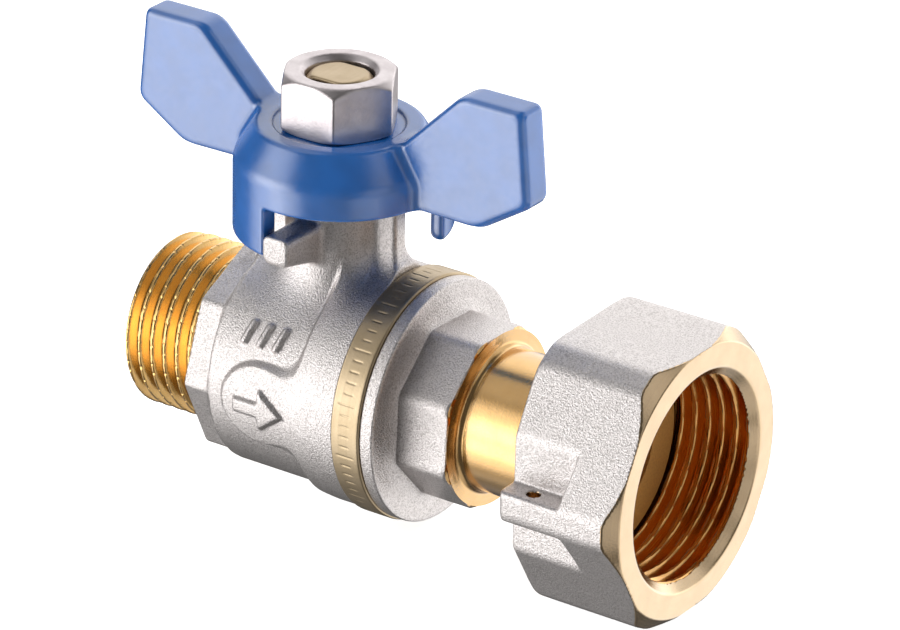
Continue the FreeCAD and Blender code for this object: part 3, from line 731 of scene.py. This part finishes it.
def neck_and_lug(x, y, z):
    """The stem housing with its ribs and the handle stop."""
    u = x - STEM_X
    neck = np.hypot(u, y) - NECK_R
    rib = soft_intersection(0.7, np.abs(u) - RIB_REACH, np.abs(y) - RIB_HALF_WIDTH, z - RIB_TOP_Z)
    lug_bottom = half_plane(y, z, *STOP_UNDERSIDE)
    lug = soft_intersection(1.0, np.abs(u) - STOP_HALF_WIDTH, z - STOP_TOP_Z, lug_bottom)
    lug = soft_intersection(0.5, lug, STOP_END_Y - y, y)
    return soft_min(soft_max(soft_min(neck, rib, 1.0), z - NECK_TOP_Z, 0.5), lug, 0.8)


def front_marks(x, y, z):
    """Distance from a raised flow arrow on the front pad and three raised bars above it."""
    u = x - STEM_X
    r = np.hypot(y, z)
    v = z - ARROW_Z
    shaft = soft_intersection(0.25, np.abs(v) - ARROW_HALF_WIDTH, ARROW_TAIL_U - u, u)
    head = soft_intersection(0.5, -half_plane(u, np.abs(v), ARROW_BARB, ARROW_TIP), ARROW_NECK_U - u)
    outline = soft_max(soft_min(shaft, head, 0.4), y - MARKS_BACK_Y, 0.2)
    arrow = soft_max(outline, r - ARROW_TOP_R, 0.5)
    s = BARREL_R * np.arctan2(-y, z)
    slanted = u - FIRST_BAR_U + BAR_SLANT * (s - BARS_S)
    across = np.abs(np.mod(slanted + BAR_PITCH / 2, BAR_PITCH) - BAR_PITCH / 2)
    bars = soft_intersection(0.4, across - BAR_HALF_WIDTH, np.abs(s - BARS_S) - BAR_HALF_LENGTH,
                             np.abs(u - BARS_U) - BARS_HALF_SPAN)
    bars = soft_max(bars, r - BAR_TOP_R, 0.4)
    return soft_min(arrow, soft_max(bars, BARS_FLOOR_R - r, 0.2), 0.1)


def body_hollow(x, y, z):
    """The space in the body: bore, seat pocket, ball cavity, and the stem's hole and head pocket."""
    r = np.hypot(y, z)
    rho = np.hypot(x - STEM_X, y)
    cavity = soft_max(r - CAVITY_R, SEAT_X + CAVITY_STEP - x, 0.2)
    pocket = soft_max(r - SEAT_POCKET_R, SEAT_X - x, 0.2)
    stem_hole = soft_max(rho - STEM_BORE_R, -z, 0.2)
    head_pocket = soft_intersection(0.2, rho - HEAD_POCKET_R, -z, z - HEAD_POCKET_TOP_Z)
    along_pipe = soft_min(soft_min(r - BORE_R, pocket, 0.2), cavity, 0.2)
    return soft_min(along_pipe, soft_min(stem_hole, head_pocket, 0.2), 0.2)


def forging(x, y, z):
    """The forged middle of the body: octagon, barrel, neck and handle stop, hollow inside."""
    r = np.hypot(y, z)
    octagon = polygon_distance(8, BODY_APOTHEM, BODY_TURN, y, z, 0.35)
    cone = r - OCTAGON_CONE_R - (x - BODY_OCTAGON_X) * OCTAGON_CONE_SLOPE
    octagon = soft_max(octagon, cone * OCTAGON_CONE_FACTOR, 0.25)
    octagon = soft_intersection(0.2, octagon, BODY_OCTAGON_X - x, x - OCTAGON_END_X)
    barrel = soft_max(r - barrel_radius(x, y, z), BARREL_X - x, 0.9)
    outside = soft_min(octagon, barrel, 0.5)
    outside = soft_min(outside, soft_max(neck_and_lug(x, y, z), -z, 0.2), 3.8)
    outside = soft_min(outside, front_marks(x, y, z), 0.35)
    outside = soft_max(outside, x - COLLAR_X, 0.2)
    return soft_max(outside, -body_hollow(x, y, z), 0.25)


def body_forging():
    """The forged middle of the body."""
    return mesh_from_sdf("valve_body_forging", forging, *BODY_GRID, NICKEL)


def collar_radius(x, r, phi):
    """Short engraved strokes round the collar, every fifth one longer."""
    pitch = math.radians(STROKE_STEP)
    place = phi / pitch
    nearest = np.round(place)
    half_length = np.where(np.mod(nearest, STROKES_PER_GROUP) == 0, LONG_STROKE_HALF, SHORT_STROKE_HALF)
    across = np.abs(place - nearest) * pitch * COLLAR_R
    along = smooth_step((half_length - np.abs(x - STROKE_X)) / STROKE_END_LENGTH + 0.5)
    depth = STROKE_DEPTH * np.exp(-(across / STROKE_HALF_WIDTH) ** 2) * along
    return r - depth * (r > COLLAR_SHAPED_FROM_R)


def body_collar():
    """The turned band next to the cap, with the cap seal's pocket behind it."""
    section = rounded_section([(COLLAR_X, COLLAR_INNER_R, 0.0), (COLLAR_X, COLLAR_R, 0.18),
                               (BODY_END_X, COLLAR_R, 0.22), (BODY_END_X, SEAL_POCKET_R, 0.1),
                               (SEAL_POCKET_X, SEAL_POCKET_R, 0.0), (SEAL_POCKET_X, COLLAR_INNER_R, 0.0)])
    return turned_piece("valve_body_collar", divided(section, COLLAR_STEP), COLLAR_AROUND, COLLAR_BRASS,
                        collar_radius)


# ---- end cap -----------------------------------------------------------------------------------

# The cap is turned as a plain round blank, and cap_radius then gives the blank its flats.
FLANGE_BACK_X = BODY_END_X + 0.02
CAP_FACE_R = 12.3
CAP_BLANK_R = 11.6
CAP_END_R = 9.9
TAIL_ROOT_R = 9.5
CAP_SHAPED_FROM_R = 10.5
CAP_FACE_BLEND = 0.6
# A share of the apothem, not millimetres.
CAP_CORNER_ROUND = 0.055


def cap_radius(x, r, phi):
    """Turns the cap's spanner length into a soft-edged octagon, chamfered at its end."""
    y = -np.sin(phi)
    z = np.cos(phi)
    reach = np.zeros_like(phi)
    for side in range(8):
        angle = math.radians(CAP_TURN + 45.0 * side)
        facing = -math.sin(angle) * y + math.cos(angle) * z
        reach = soft_max(reach, np.maximum(facing, 0.0), CAP_CORNER_ROUND)
    octagon = CAP_APOTHEM / reach
    cone = CAP_CONE_R + (TAIL_X - x) * CAP_CONE_SLOPE
    bar = soft_min(octagon, cone, 0.18)
    spanner = (x > CAP_OCTAGON_X - 0.01) & (x < TAIL_X - 0.005) & (r > CAP_SHAPED_FROM_R)
    face = smooth_step((x - CAP_OCTAGON_X + 0.1) / CAP_FACE_BLEND)
    blended = r + (bar - r) * face
    return np.where(spanner, blended, r)


def end_cap():
    """The screwed end: nose, flange, octagon and the tail with the split ring's groove."""
    nose = [(CAP_NOSE_X, SEAT_POCKET_R, 0.2), (CAP_NOSE_X, CAP_NOSE_R, 0.3),
            (SEAL_POCKET_X, CAP_NOSE_R, 0.0), (SEAL_POCKET_X, SEAL_LAND_R, 0.0)]
    flange = [(FLANGE_BACK_X, SEAL_LAND_R, 0.0), (FLANGE_BACK_X, FLANGE_R, 0.2),
              (CAP_OCTAGON_X, FLANGE_R, 0.25), (CAP_OCTAGON_X, CAP_FACE_R, 0.0)]
    octagon = [(CAP_OCTAGON_X + 0.5, CAP_BLANK_R, 0.0), (TAIL_X - 0.02, CAP_BLANK_R, 0.0),
               (TAIL_X, CAP_END_R, 0.0), (TAIL_X + 0.05, TAIL_ROOT_R, 0.0)]
    groove = [(RING_X - 0.05, TAIL_R, 0.1), (RING_X - 0.05, RING_GROOVE_R, 0.0),
              (RING_X + RING_GROOVE_LENGTH, RING_GROOVE_R, 0.0), (RING_X + RING_GROOVE_LENGTH, TAIL_R, 0.1)]
    tail = [(TAIL_X + 0.12, TAIL_R, 0.85)] + groove + [(TAIL_END_X, TAIL_R, 0.25)]
    inside = [(TAIL_END_X, BORE_R, 0.15), (CAP_SEAT_X, BORE_R, 0.2), (CAP_SEAT_X, SEAT_POCKET_R, 0.0)]
    section = rounded_section(nose + flange + octagon + tail + inside)
    return turned_piece("end_cap_detail", divided(section, CAP_STEP), CAP_AROUND, CAP_METALS, cap_radius)


# ---- swivel nut --------------------------------------------------------------------------------

BACK_CONE_R = 17.3
EYE_TOP_Z = 1.25
EYE_BOTTOM_Z = -2.5
EYE_WALL_Y = -14.35
EYE_HOLE_Z = -0.6
EYE_HOLE_HALF_LENGTH = 4.0
# The pockets above and below the eye: the far side's z, the end's x and the slope of the end.
UPPER_POCKET = (8.5, 65.6, 0.12)
LOWER_POCKET = (-8.0, 65.8, 0.25)

# The nut's bore behind the thread, the hole in its back wall, and the countersink at its mouth.
NUT_BORE_R = 13.3
NUT_WALL_HOLE_R = 8.75
COUNTERSINK_R = 12.0
COUNTERSINK_SLOPE = 1.2
COUNTERSINK_FACTOR = 0.64
# The nut's thread: where its crest starts, where it fades out, and the sleeve it is cut in.
OUTLET_CREST_X = 71.3
OUTLET_FADE_X = 61.6
OUTLET_FADE_LENGTH = 0.9
OUTLET_START_X = 59.95
OUTLET_BACK_R = 13.27
OUTLET_SHAPED_TO_R = 13.22


def front_cone(x, r):
    """Distance from the cone that chamfers the nut's front corners."""
    return (r - FRONT_CONE_R + (x - NUT_FRONT_X) * NUT_CONE_SLOPE) / math.hypot(1.0, NUT_CONE_SLOPE)


def eye_pockets(x, y, z):
    """Distances from the two pockets above and below the seal eye."""
    top_z, top_x, top_slope = UPPER_POCKET
    bottom_z, bottom_x, bottom_slope = LOWER_POCKET
    upper = soft_intersection(0.35, y - EYE_WALL_Y, EYE_TOP_Z - z, z - top_z,
                              x - top_x - top_slope * (z - EYE_TOP_Z))
    lower = soft_intersection(0.5, y - EYE_WALL_Y, z - EYE_BOTTOM_Z, bottom_z - z,
                              x - bottom_x + bottom_slope * (z - EYE_BOTTOM_Z))
    return upper, lower


def nut_shell(x, y, z):
    """The swivel nut's body: trimmed hexagon, chamfers, bore and the seal eye."""
    r = np.hypot(y, z)
    hexagon = polygon_distance(6, HEX_APOTHEM, HEX_TURN, y, z, 0.5)
    trimmed = polygon_distance(6, HEX_CORNER_CUT, HEX_TURN + 30.0, y, z, 0.3)
    bar = soft_max(hexagon, trimmed, 0.4)
    back = ((r - BACK_CONE_R) - (x - NUT_BACK_X)) / math.hypot(1.0, 1.0)
    bar = soft_intersection(0.6, bar, back, NUT_BACK_X - x)
    for pocket in eye_pockets(x, y, z):
        bar = soft_max(bar, -pocket, 0.35)
    eye = np.hypot(x - EYE_HOLE_X, y - EYE_HOLE_Y) - EYE_HOLE_R
    eye = soft_max(eye, np.abs(z - EYE_HOLE_Z) - EYE_HOLE_HALF_LENGTH, 0.1)
    bar = soft_max(bar, -eye, 0.15)
    bar = soft_intersection(0.12, bar, front_cone(x, r), x - NUT_FRONT_X)
    bore = soft_intersection(0.2, r - NUT_BORE_R, NUT_WALL_X - x, x - NUT_MOUTH_X)
    sink = (r - COUNTERSINK_R - COUNTERSINK_SLOPE * (x - NUT_MOUTH_X)) * COUNTERSINK_FACTOR
    mouth = soft_max(sink, NUT_WALL_X - x, 0.2)
    hole = r - NUT_WALL_HOLE_R
    return soft_max(bar, -soft_min(soft_min(bore, mouth, 0.05), hole, 0.3), 0.2)


def union_nut_shell():
    """The nut with its outside, back wall and smooth bore."""
    return mesh_from_sdf("union_nut_shell", nut_shell, *UNION_NUT_GRID, NUT_METALS)


def outlet_radius(x, r, phi):
    """The nut's right-hand internal thread, fading out at its deep end."""
    turns = (x - OUTLET_CREST_X) / G_PITCH - (phi - math.pi / 2) / (2 * math.pi)
    ridge = OUTLET_DEPTH - thread_depth(turns, OUTLET_DEPTH, THREAD_ROUND)
    fade = smooth_step((x - OUTLET_FADE_X) / OUTLET_FADE_LENGTH)
    return np.where(r < OUTLET_SHAPED_TO_R, OUTLET_ROOT_R - ridge * fade, r)


def union_nut_thread():
    """The nut's thread, as a thin sleeve in its bore."""
    end_x = NUT_MOUTH_X + 0.03
    section = rounded_section([(OUTLET_START_X, OUTLET_ROOT_R, 0.0), (end_x, OUTLET_ROOT_R, 0.0),
                               (end_x, OUTLET_BACK_R, 0.0), (OUTLET_START_X, OUTLET_BACK_R, 0.0)])
    return turned_piece("union_nut_thread", divided(section, OUTLET_STEP), OUTLET_AROUND, OUTLET_BRASS_WITH_PAINTED_REFLECTION,
                        outlet_radius)


# ---- handle and its nut ------------------------------------------------------------------------

# The two legs that stop the handle. Angles are in degrees from +X towards +Y, and LEG_FACE is how far
# each leg's stop face lies from the stem's axis.
OPEN_LEG_START = -150.0
OPEN_LEG_BOTTOM_Z = 17.7
LEG_FACE = 1.95
CLOSE_LEG_SWEEP = 38.0
CLOSE_LEG_R = 12.4
CLOSE_LEG_HALF_THICKNESS = 1.0
CLOSE_LEG_Z = (18.5, 25.0)
# The hub: its sloping shoulder, and the space and the boss under it.
HUB_CONE_R = 11.78
HUB_CONE_Z = 27.55
HUB_CONE_NORMAL = (0.857, 0.515)
HUB_CEILING_Z = 28.2
HUB_INNER_TOP_Z = 25.8
HUB_INNER_SLOPE = 0.8
HUB_BOSS_R = 6.4
HUB_BOSS_BOTTOM_Z = 25.2
HANDLE_HOLE_R = 4.1
HANDLE_FLAT_HALF = 2.85
HANDLE_NUT_TURN = 30.0
HANDLE_NUT_BOTTOM_Z = 30.6
HANDLE_NUT_BORE_R = 4.0
# The handle nut's chamfers, as (radius at the face, normal).
NUT_TOP_CONE = (6.25, (0.67, 0.742))
NUT_BOTTOM_CONE = (6.45, (0.5, 0.866))
NUT_SINK_CONE = (4.62, (0.7, 0.7))


def wing_distance(u, y, z):
    """Distance from the two wings: a rounded outline with a soft-edged thickness."""
    side = np.abs(u)
    outline = None
    for k in range(len(WING_OUTLINE)):
        start = WING_OUTLINE[k]
        end = WING_OUTLINE[(k + 1) % len(WING_OUTLINE)]
        edge = half_plane(side, z, start, end)
        outline = edge if outline is None else soft_max(outline, edge, 0.9)
    return soft_max(outline, np.abs(y) - WING_HALF_THICKNESS, 1.1)


def below_skirt(u, y, z):
    """Distance below the skirt's edge, which drops to the open leg's foot beside the stop."""
    start = math.radians(OPEN_LEG_START)
    behind = -(math.cos(start) * y - math.sin(start) * u)
    foot = soft_intersection(0.4, OPEN_LEG_BOTTOM_Z - z, u + LEG_FACE, behind, y)
    return soft_min(SKIRT_BOTTOM_Z - z, foot, 0.5)


def close_leg(u, y, z):
    """Distance from the leg that stops the handle when it is closed."""
    sweep = math.radians(CLOSE_LEG_SWEEP)
    behind = math.cos(sweep) * y - math.sin(sweep) * u
    ring = np.abs(np.hypot(u, y) - CLOSE_LEG_R) - CLOSE_LEG_HALF_THICKNESS
    low, high = CLOSE_LEG_Z
    return soft_intersection(0.9, ring, low - z, z - high, LEG_FACE - y, behind, -u)


def handle_hollow(rho, y, z):
    """The recess round the nut, the space under the hub and the flatted hole for the stem."""
    recess = soft_max(rho - RECESS_R + RECESS_TAPER * (RIM_Z - z), RECESS_Z - z, 0.25)
    ceiling = z - HUB_INNER_TOP_Z - HUB_INNER_SLOPE * (SKIRT_INNER_R - rho)
    under = soft_max(rho - SKIRT_INNER_R, ceiling, 0.5)
    under = soft_max(under, z - HUB_CEILING_Z, 0.4)
    under = soft_max(under, -(rho - HUB_BOSS_R), 0.4)
    below_boss = soft_max(rho - SKIRT_INNER_R, z - HUB_BOSS_BOTTOM_Z, 0.3)
    hole = soft_max(rho - HANDLE_HOLE_R, np.abs(y) - HANDLE_FLAT_HALF, 0.15)
    return soft_min(soft_min(recess, under, 0.2), soft_min(below_boss, hole, 0.1), 0.2)


def handle_shape(x, y, z):
    """The butterfly handle: hub with skirt, rim and recess, two wings and two legs."""
    u = x - STEM_X
    rho = np.hypot(u, y)
    cone = cone_distance(rho, z - HUB_CONE_Z, HUB_CONE_R, HUB_CONE_NORMAL)
    hub = soft_max(rho - SKIRT_R, cone, 0.45)
    hub = soft_max(hub, z - RIM_Z, 0.5)
    outside = soft_min(hub, wing_distance(u, y, z), 1.1)
    outside = soft_max(outside, below_skirt(u, y, z), 0.5)
    outside = soft_min(outside, close_leg(u, y, z), 0.4)
    return soft_max(outside, -handle_hollow(rho, y, z), 0.45)


def handle():
    """The coated handle, with both of its stop legs."""
    return mesh_from_sdf("handle_coated", handle_shape, *HANDLE_GRID, BLUE_COAT)


def handle_nut_shape(x, y, z):
    """The handle's hexagon nut, with turned chamfers and a countersunk bore."""
    u = x - STEM_X
    rho = np.hypot(u, y)
    hexagon = polygon_distance(6, NUT_HALF_FLATS, HANDLE_NUT_TURN, -y, u, 0.22)
    top = cone_distance(rho, z - NUT_TOP_Z, *NUT_TOP_CONE)
    bottom = cone_distance(rho, HANDLE_NUT_BOTTOM_Z - z, *NUT_BOTTOM_CONE)
    shape = soft_intersection(0.25, hexagon, top, z - NUT_TOP_Z, bottom, HANDLE_NUT_BOTTOM_Z - z)
    sink = cone_distance(rho, NUT_TOP_Z - z, *NUT_SINK_CONE)
    return soft_max(shape, -soft_min(rho - HANDLE_NUT_BORE_R, sink, 0.1), 0.2)


def handle_nut():
    """The plated nut that holds the handle on the stem."""
    return mesh_from_sdf("handle_nut_plated", handle_nut_shape, *HANDLE_NUT_GRID, ZINC)


# ---- stem --------------------------------------------------------------------------------------

ORING_HEIGHTS = (16.0, 19.6)
ORING_GROOVE_R = 2.6
ORING_GROOVE_HALF_WIDTH = 0.95
TANG_BOTTOM_Z = 8.1
TANG_TOP_Z = 11.5
TANG_HALF_WIDTH = 1.95
TANG_HALF_LENGTH = 3.8
STEM_CHAMFER_R = 3.2
STEM_CHAMFER_FACTOR = 0.707


def stem_shape(x, y, z):
    """The stem: tang, head, O-ring grooves and a flatted, chamfered top."""
    u = x - STEM_X
    rho = np.hypot(u, y)
    shaft = soft_intersection(0.15, rho - STEM_R, z - STEM_TOP_Z, STEM_HEAD_Z - z)
    chamfer = (rho - STEM_CHAMFER_R + z - STEM_TOP_Z) * STEM_CHAMFER_FACTOR
    shaft = soft_max(shaft, chamfer, 0.25)
    for height in ORING_HEIGHTS:
        groove = soft_max(np.abs(z - height) - ORING_GROOVE_HALF_WIDTH, ORING_GROOVE_R - rho, 0.1)
        shaft = soft_max(shaft, -groove, 0.1)
    shaft = soft_max(shaft, np.minimum(np.abs(y) - STEM_FLAT_HALF, z - STEM_SHOULDER_Z), 0.35)
    head = soft_intersection(0.2, rho - STEM_HEAD_R, z - STEM_HEAD_TOP_Z, STEM_HEAD_Z - z)
    tang = soft_intersection(0.3, np.abs(u) - TANG_HALF_WIDTH, np.abs(y) - TANG_HALF_LENGTH,
                             TANG_BOTTOM_Z - z, z - TANG_TOP_Z)
    return soft_min(soft_min(shaft, head, 0.15), tang, 0.15)


def stem():
    """The turned brass stem."""
    return mesh_from_sdf("stem_turned", stem_shape, *STEM_GRID, COLLAR_BRASS)


# ---- put the pieces on their bodies ------------------------------------------------------------

PIECES = [
    (inlet_thread, "body", "valve_body", "bare_brass"),
    (body_forging, "body", "valve_body", "plated_body"),
    (body_collar, "body", "valve_body", "bare_brass"),
    (end_cap, "body", "end_cap", "plated_cap"),
    (union_nut_shell, "nut", "union_nut", "plated_nut"),
    (union_nut_thread, "nut", "union_nut", "bare_brass"),
    (handle, "handle", "handle", "blue_coating"),
    (handle_nut, "handle", "handle_nut", "zinc_plate"),
    (stem, "handle", "stem", "bare_brass"),
]
for build, body, node, slot in PIECES:
    piece = build()
    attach(piece, body)
    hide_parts(node)

CARRIED_OVER = {
    "ball": CHROME,
    "seat_inlet": PTFE,
    "seat_outlet": PTFE,
    "stem_thrust_washer": PTFE,
    "stem_oring_lower": RUBBER,
    "stem_oring_upper": RUBBER,
    "cap_seal_ring": RUBBER,
    "retaining_ring": SPRING_STEEL,
    "union_gasket": FIBRE,
}
for node, material in CARRIED_OVER.items():
    for node_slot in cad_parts[node].material_slots:
        node_slot.material = material


# ---- floor, light and camera -------------------------------------------------------------------

FLOOR_DROP = 0.2
FLOOR_REACH = 3.0
FLOOR_GLOW = 0.75


def floor():
    """A pale floor just under the valve."""
    level = cad_box[0][2] - FLOOR_DROP * MM
    mesh = bpy.data.meshes.new("floor")
    signs = [(-1, -1), (1, -1), (1, 1), (-1, 1)]
    corners = [(FLOOR_REACH * x, FLOOR_REACH * y, level) for x, y in signs]
    mesh.from_pydata(corners, [], [(0, 1, 2, 3)])
    shader = Shader("floor_paper")
    cloud = shader.noise(400.0)
    colour = shader.ramp(cloud, (0.3, (0.93, 0.93, 0.93)), (0.7, (0.96, 0.96, 0.96)))
    surface = shader.principled(Base_Color=colour, Roughness=0.9, Emission_Color=(1.0, 1.0, 1.0, 1.0),
                                Emission_Strength=FLOOR_GLOW)
    mesh.materials.append(shader.finish(surface))
    plane = bpy.data.objects.new("floor", mesh)
    bpy.context.scene.collection.objects.link(plane)
    plane.visible_glossy = False


# Soft boxes of the studio: azimuth and elevation from the valve, half width in degrees, brightness.
SOFT_BOXES = [
    (-130.0, -14.0, 30.0, 1.75),
    (-125.0, -20.0, 9.0, 0.9),
    (-133.0, 14.0, 24.0, 1.38),
    (-150.0, -48.0, 15.0, 0.3),
    (-160.0, 60.0, 22.0, 0.5),
    (178.0, -60.0, 22.0, 0.14),
    (124.0, 25.0, 34.0, 1.2),
    (56.0, -26.0, 30.0, 1.25),
    (66.0, 20.0, 27.0, 0.75),
    (88.0, 0.0, 18.0, 0.8),
    (4.0, -27.0, 17.0, 0.6),
    (0.0, -58.0, 17.0, 0.5),
    (10.0, 40.0, 18.0, 0.5),
    (-12.0, 8.0, 16.0, 0.45),
    (-25.0, -22.0, 15.0, 0.45),
]
EDGE_START = 1.35
EDGE_END = 0.55
AMBIENT = 0.09
BACKDROP = 1.3
SURROUND_COLOUR = (1.0, 0.985, 0.975, 1.0)
LIGHT_TARGET = Vector((0.035, 0.0, 0.01))
LIGHT_SIZE = 0.5


def studio_world():
    """A soft surround: dim everywhere, with broad soft boxes."""
    world = bpy.data.worlds.new("studio")
    world.use_nodes = True
    tree = world.node_tree
    tree.nodes.clear()
    output = tree.nodes.new("ShaderNodeOutputWorld")
    direction = tree.nodes.new("ShaderNodeTexCoord").outputs["Generated"]
    total = None
    for azimuth, elevation, half_width, strength in SOFT_BOXES:
        turn = math.radians(azimuth)
        lift = math.radians(elevation)
        towards = (math.cos(turn) * math.cos(lift), math.sin(turn) * math.cos(lift), math.sin(lift))
        dot = tree.nodes.new("ShaderNodeVectorMath")
        dot.operation = "DOT_PRODUCT"
        tree.links.new(direction, dot.inputs[0])
        dot.inputs[1].default_value = towards
        span = tree.nodes.new("ShaderNodeMapRange")
        span.interpolation_type = "SMOOTHSTEP"
        tree.links.new(dot.outputs["Value"], span.inputs["Value"])
        span.inputs["From Min"].default_value = math.cos(math.radians(half_width * EDGE_START))
        span.inputs["From Max"].default_value = math.cos(math.radians(half_width * EDGE_END))
        span.inputs["To Max"].default_value = strength
        add = tree.nodes.new("ShaderNodeMath")
        add.operation = "ADD"
        tree.links.new(span.outputs["Result"], add.inputs[0])
        if total is None:
            add.inputs[1].default_value = AMBIENT
        else:
            tree.links.new(total, add.inputs[1])
        total = add.outputs[0]
    background = tree.nodes.new("ShaderNodeBackground")
    background.inputs["Color"].default_value = SURROUND_COLOUR
    tree.links.new(total, background.inputs["Strength"])
    backdrop = tree.nodes.new("ShaderNodeBackground")
    backdrop.inputs["Strength"].default_value = BACKDROP
    path = tree.nodes.new("ShaderNodeLightPath")
    choice = tree.nodes.new("ShaderNodeMixShader")
    tree.links.new(path.outputs["Is Camera Ray"], choice.inputs[0])
    tree.links.new(background.outputs[0], choice.inputs[1])
    tree.links.new(backdrop.outputs[0], choice.inputs[2])
    tree.links.new(choice.outputs[0], output.inputs["Surface"])
    bpy.context.scene.world = world


def area_light(name, location, power):
    """A soft light that looks at the valve."""
    light = bpy.data.lights.new(name, "AREA")
    light.shape = "DISK"
    light.size = LIGHT_SIZE
    light.energy = power
    lamp = bpy.data.objects.new(name, light)
    lamp.location = location
    lamp.rotation_euler = (LIGHT_TARGET - lamp.location).to_track_quat("-Z", "Y").to_euler()
    lamp.visible_glossy = False
    bpy.context.scene.collection.objects.link(lamp)


CAMERA_AZIMUTH = 34.016
CAMERA_ELEVATION = 24.88
CAMERA_ROLL = 1.261
CAMERA_DISTANCE = 0.600
CAMERA_TARGET = Vector((0.039158, 0.0, 0.010965))
CAMERA_LENS = 210.83
SENSOR_WIDTH = 36.0


def camera():
    """A long lens, turned round the valve and looking down on it."""
    turn = math.radians(CAMERA_AZIMUTH)
    lift = math.radians(CAMERA_ELEVATION)
    back = Vector((math.sin(turn) * math.cos(lift), -math.cos(turn) * math.cos(lift), math.sin(lift)))
    level = Vector((math.cos(turn), math.sin(turn), 0.0))
    upright = back.cross(level)
    roll = math.radians(CAMERA_ROLL)
    right = level * math.cos(roll) + upright * math.sin(roll)
    up = upright * math.cos(roll) - level * math.sin(roll)
    data = bpy.data.cameras.new("camera")
    data.lens = CAMERA_LENS
    data.sensor_width = SENSOR_WIDTH
    data.clip_start = 0.01
    data.clip_end = 20.0
    eye = bpy.data.objects.new("camera", data)
    place = Matrix((right, up, back)).transposed().to_4x4()
    place.translation = CAMERA_TARGET + back * CAMERA_DISTANCE
    eye.matrix_world = place
    bpy.context.scene.collection.objects.link(eye)
    bpy.context.scene.camera = eye


floor()
studio_world()
area_light("key", (-0.55, -0.45, 0.45), 2.2)
area_light("fill", (0.45, 0.35, 0.55), 3.5)
camera()
bpy.context.scene.view_settings.view_transform = "Standard"
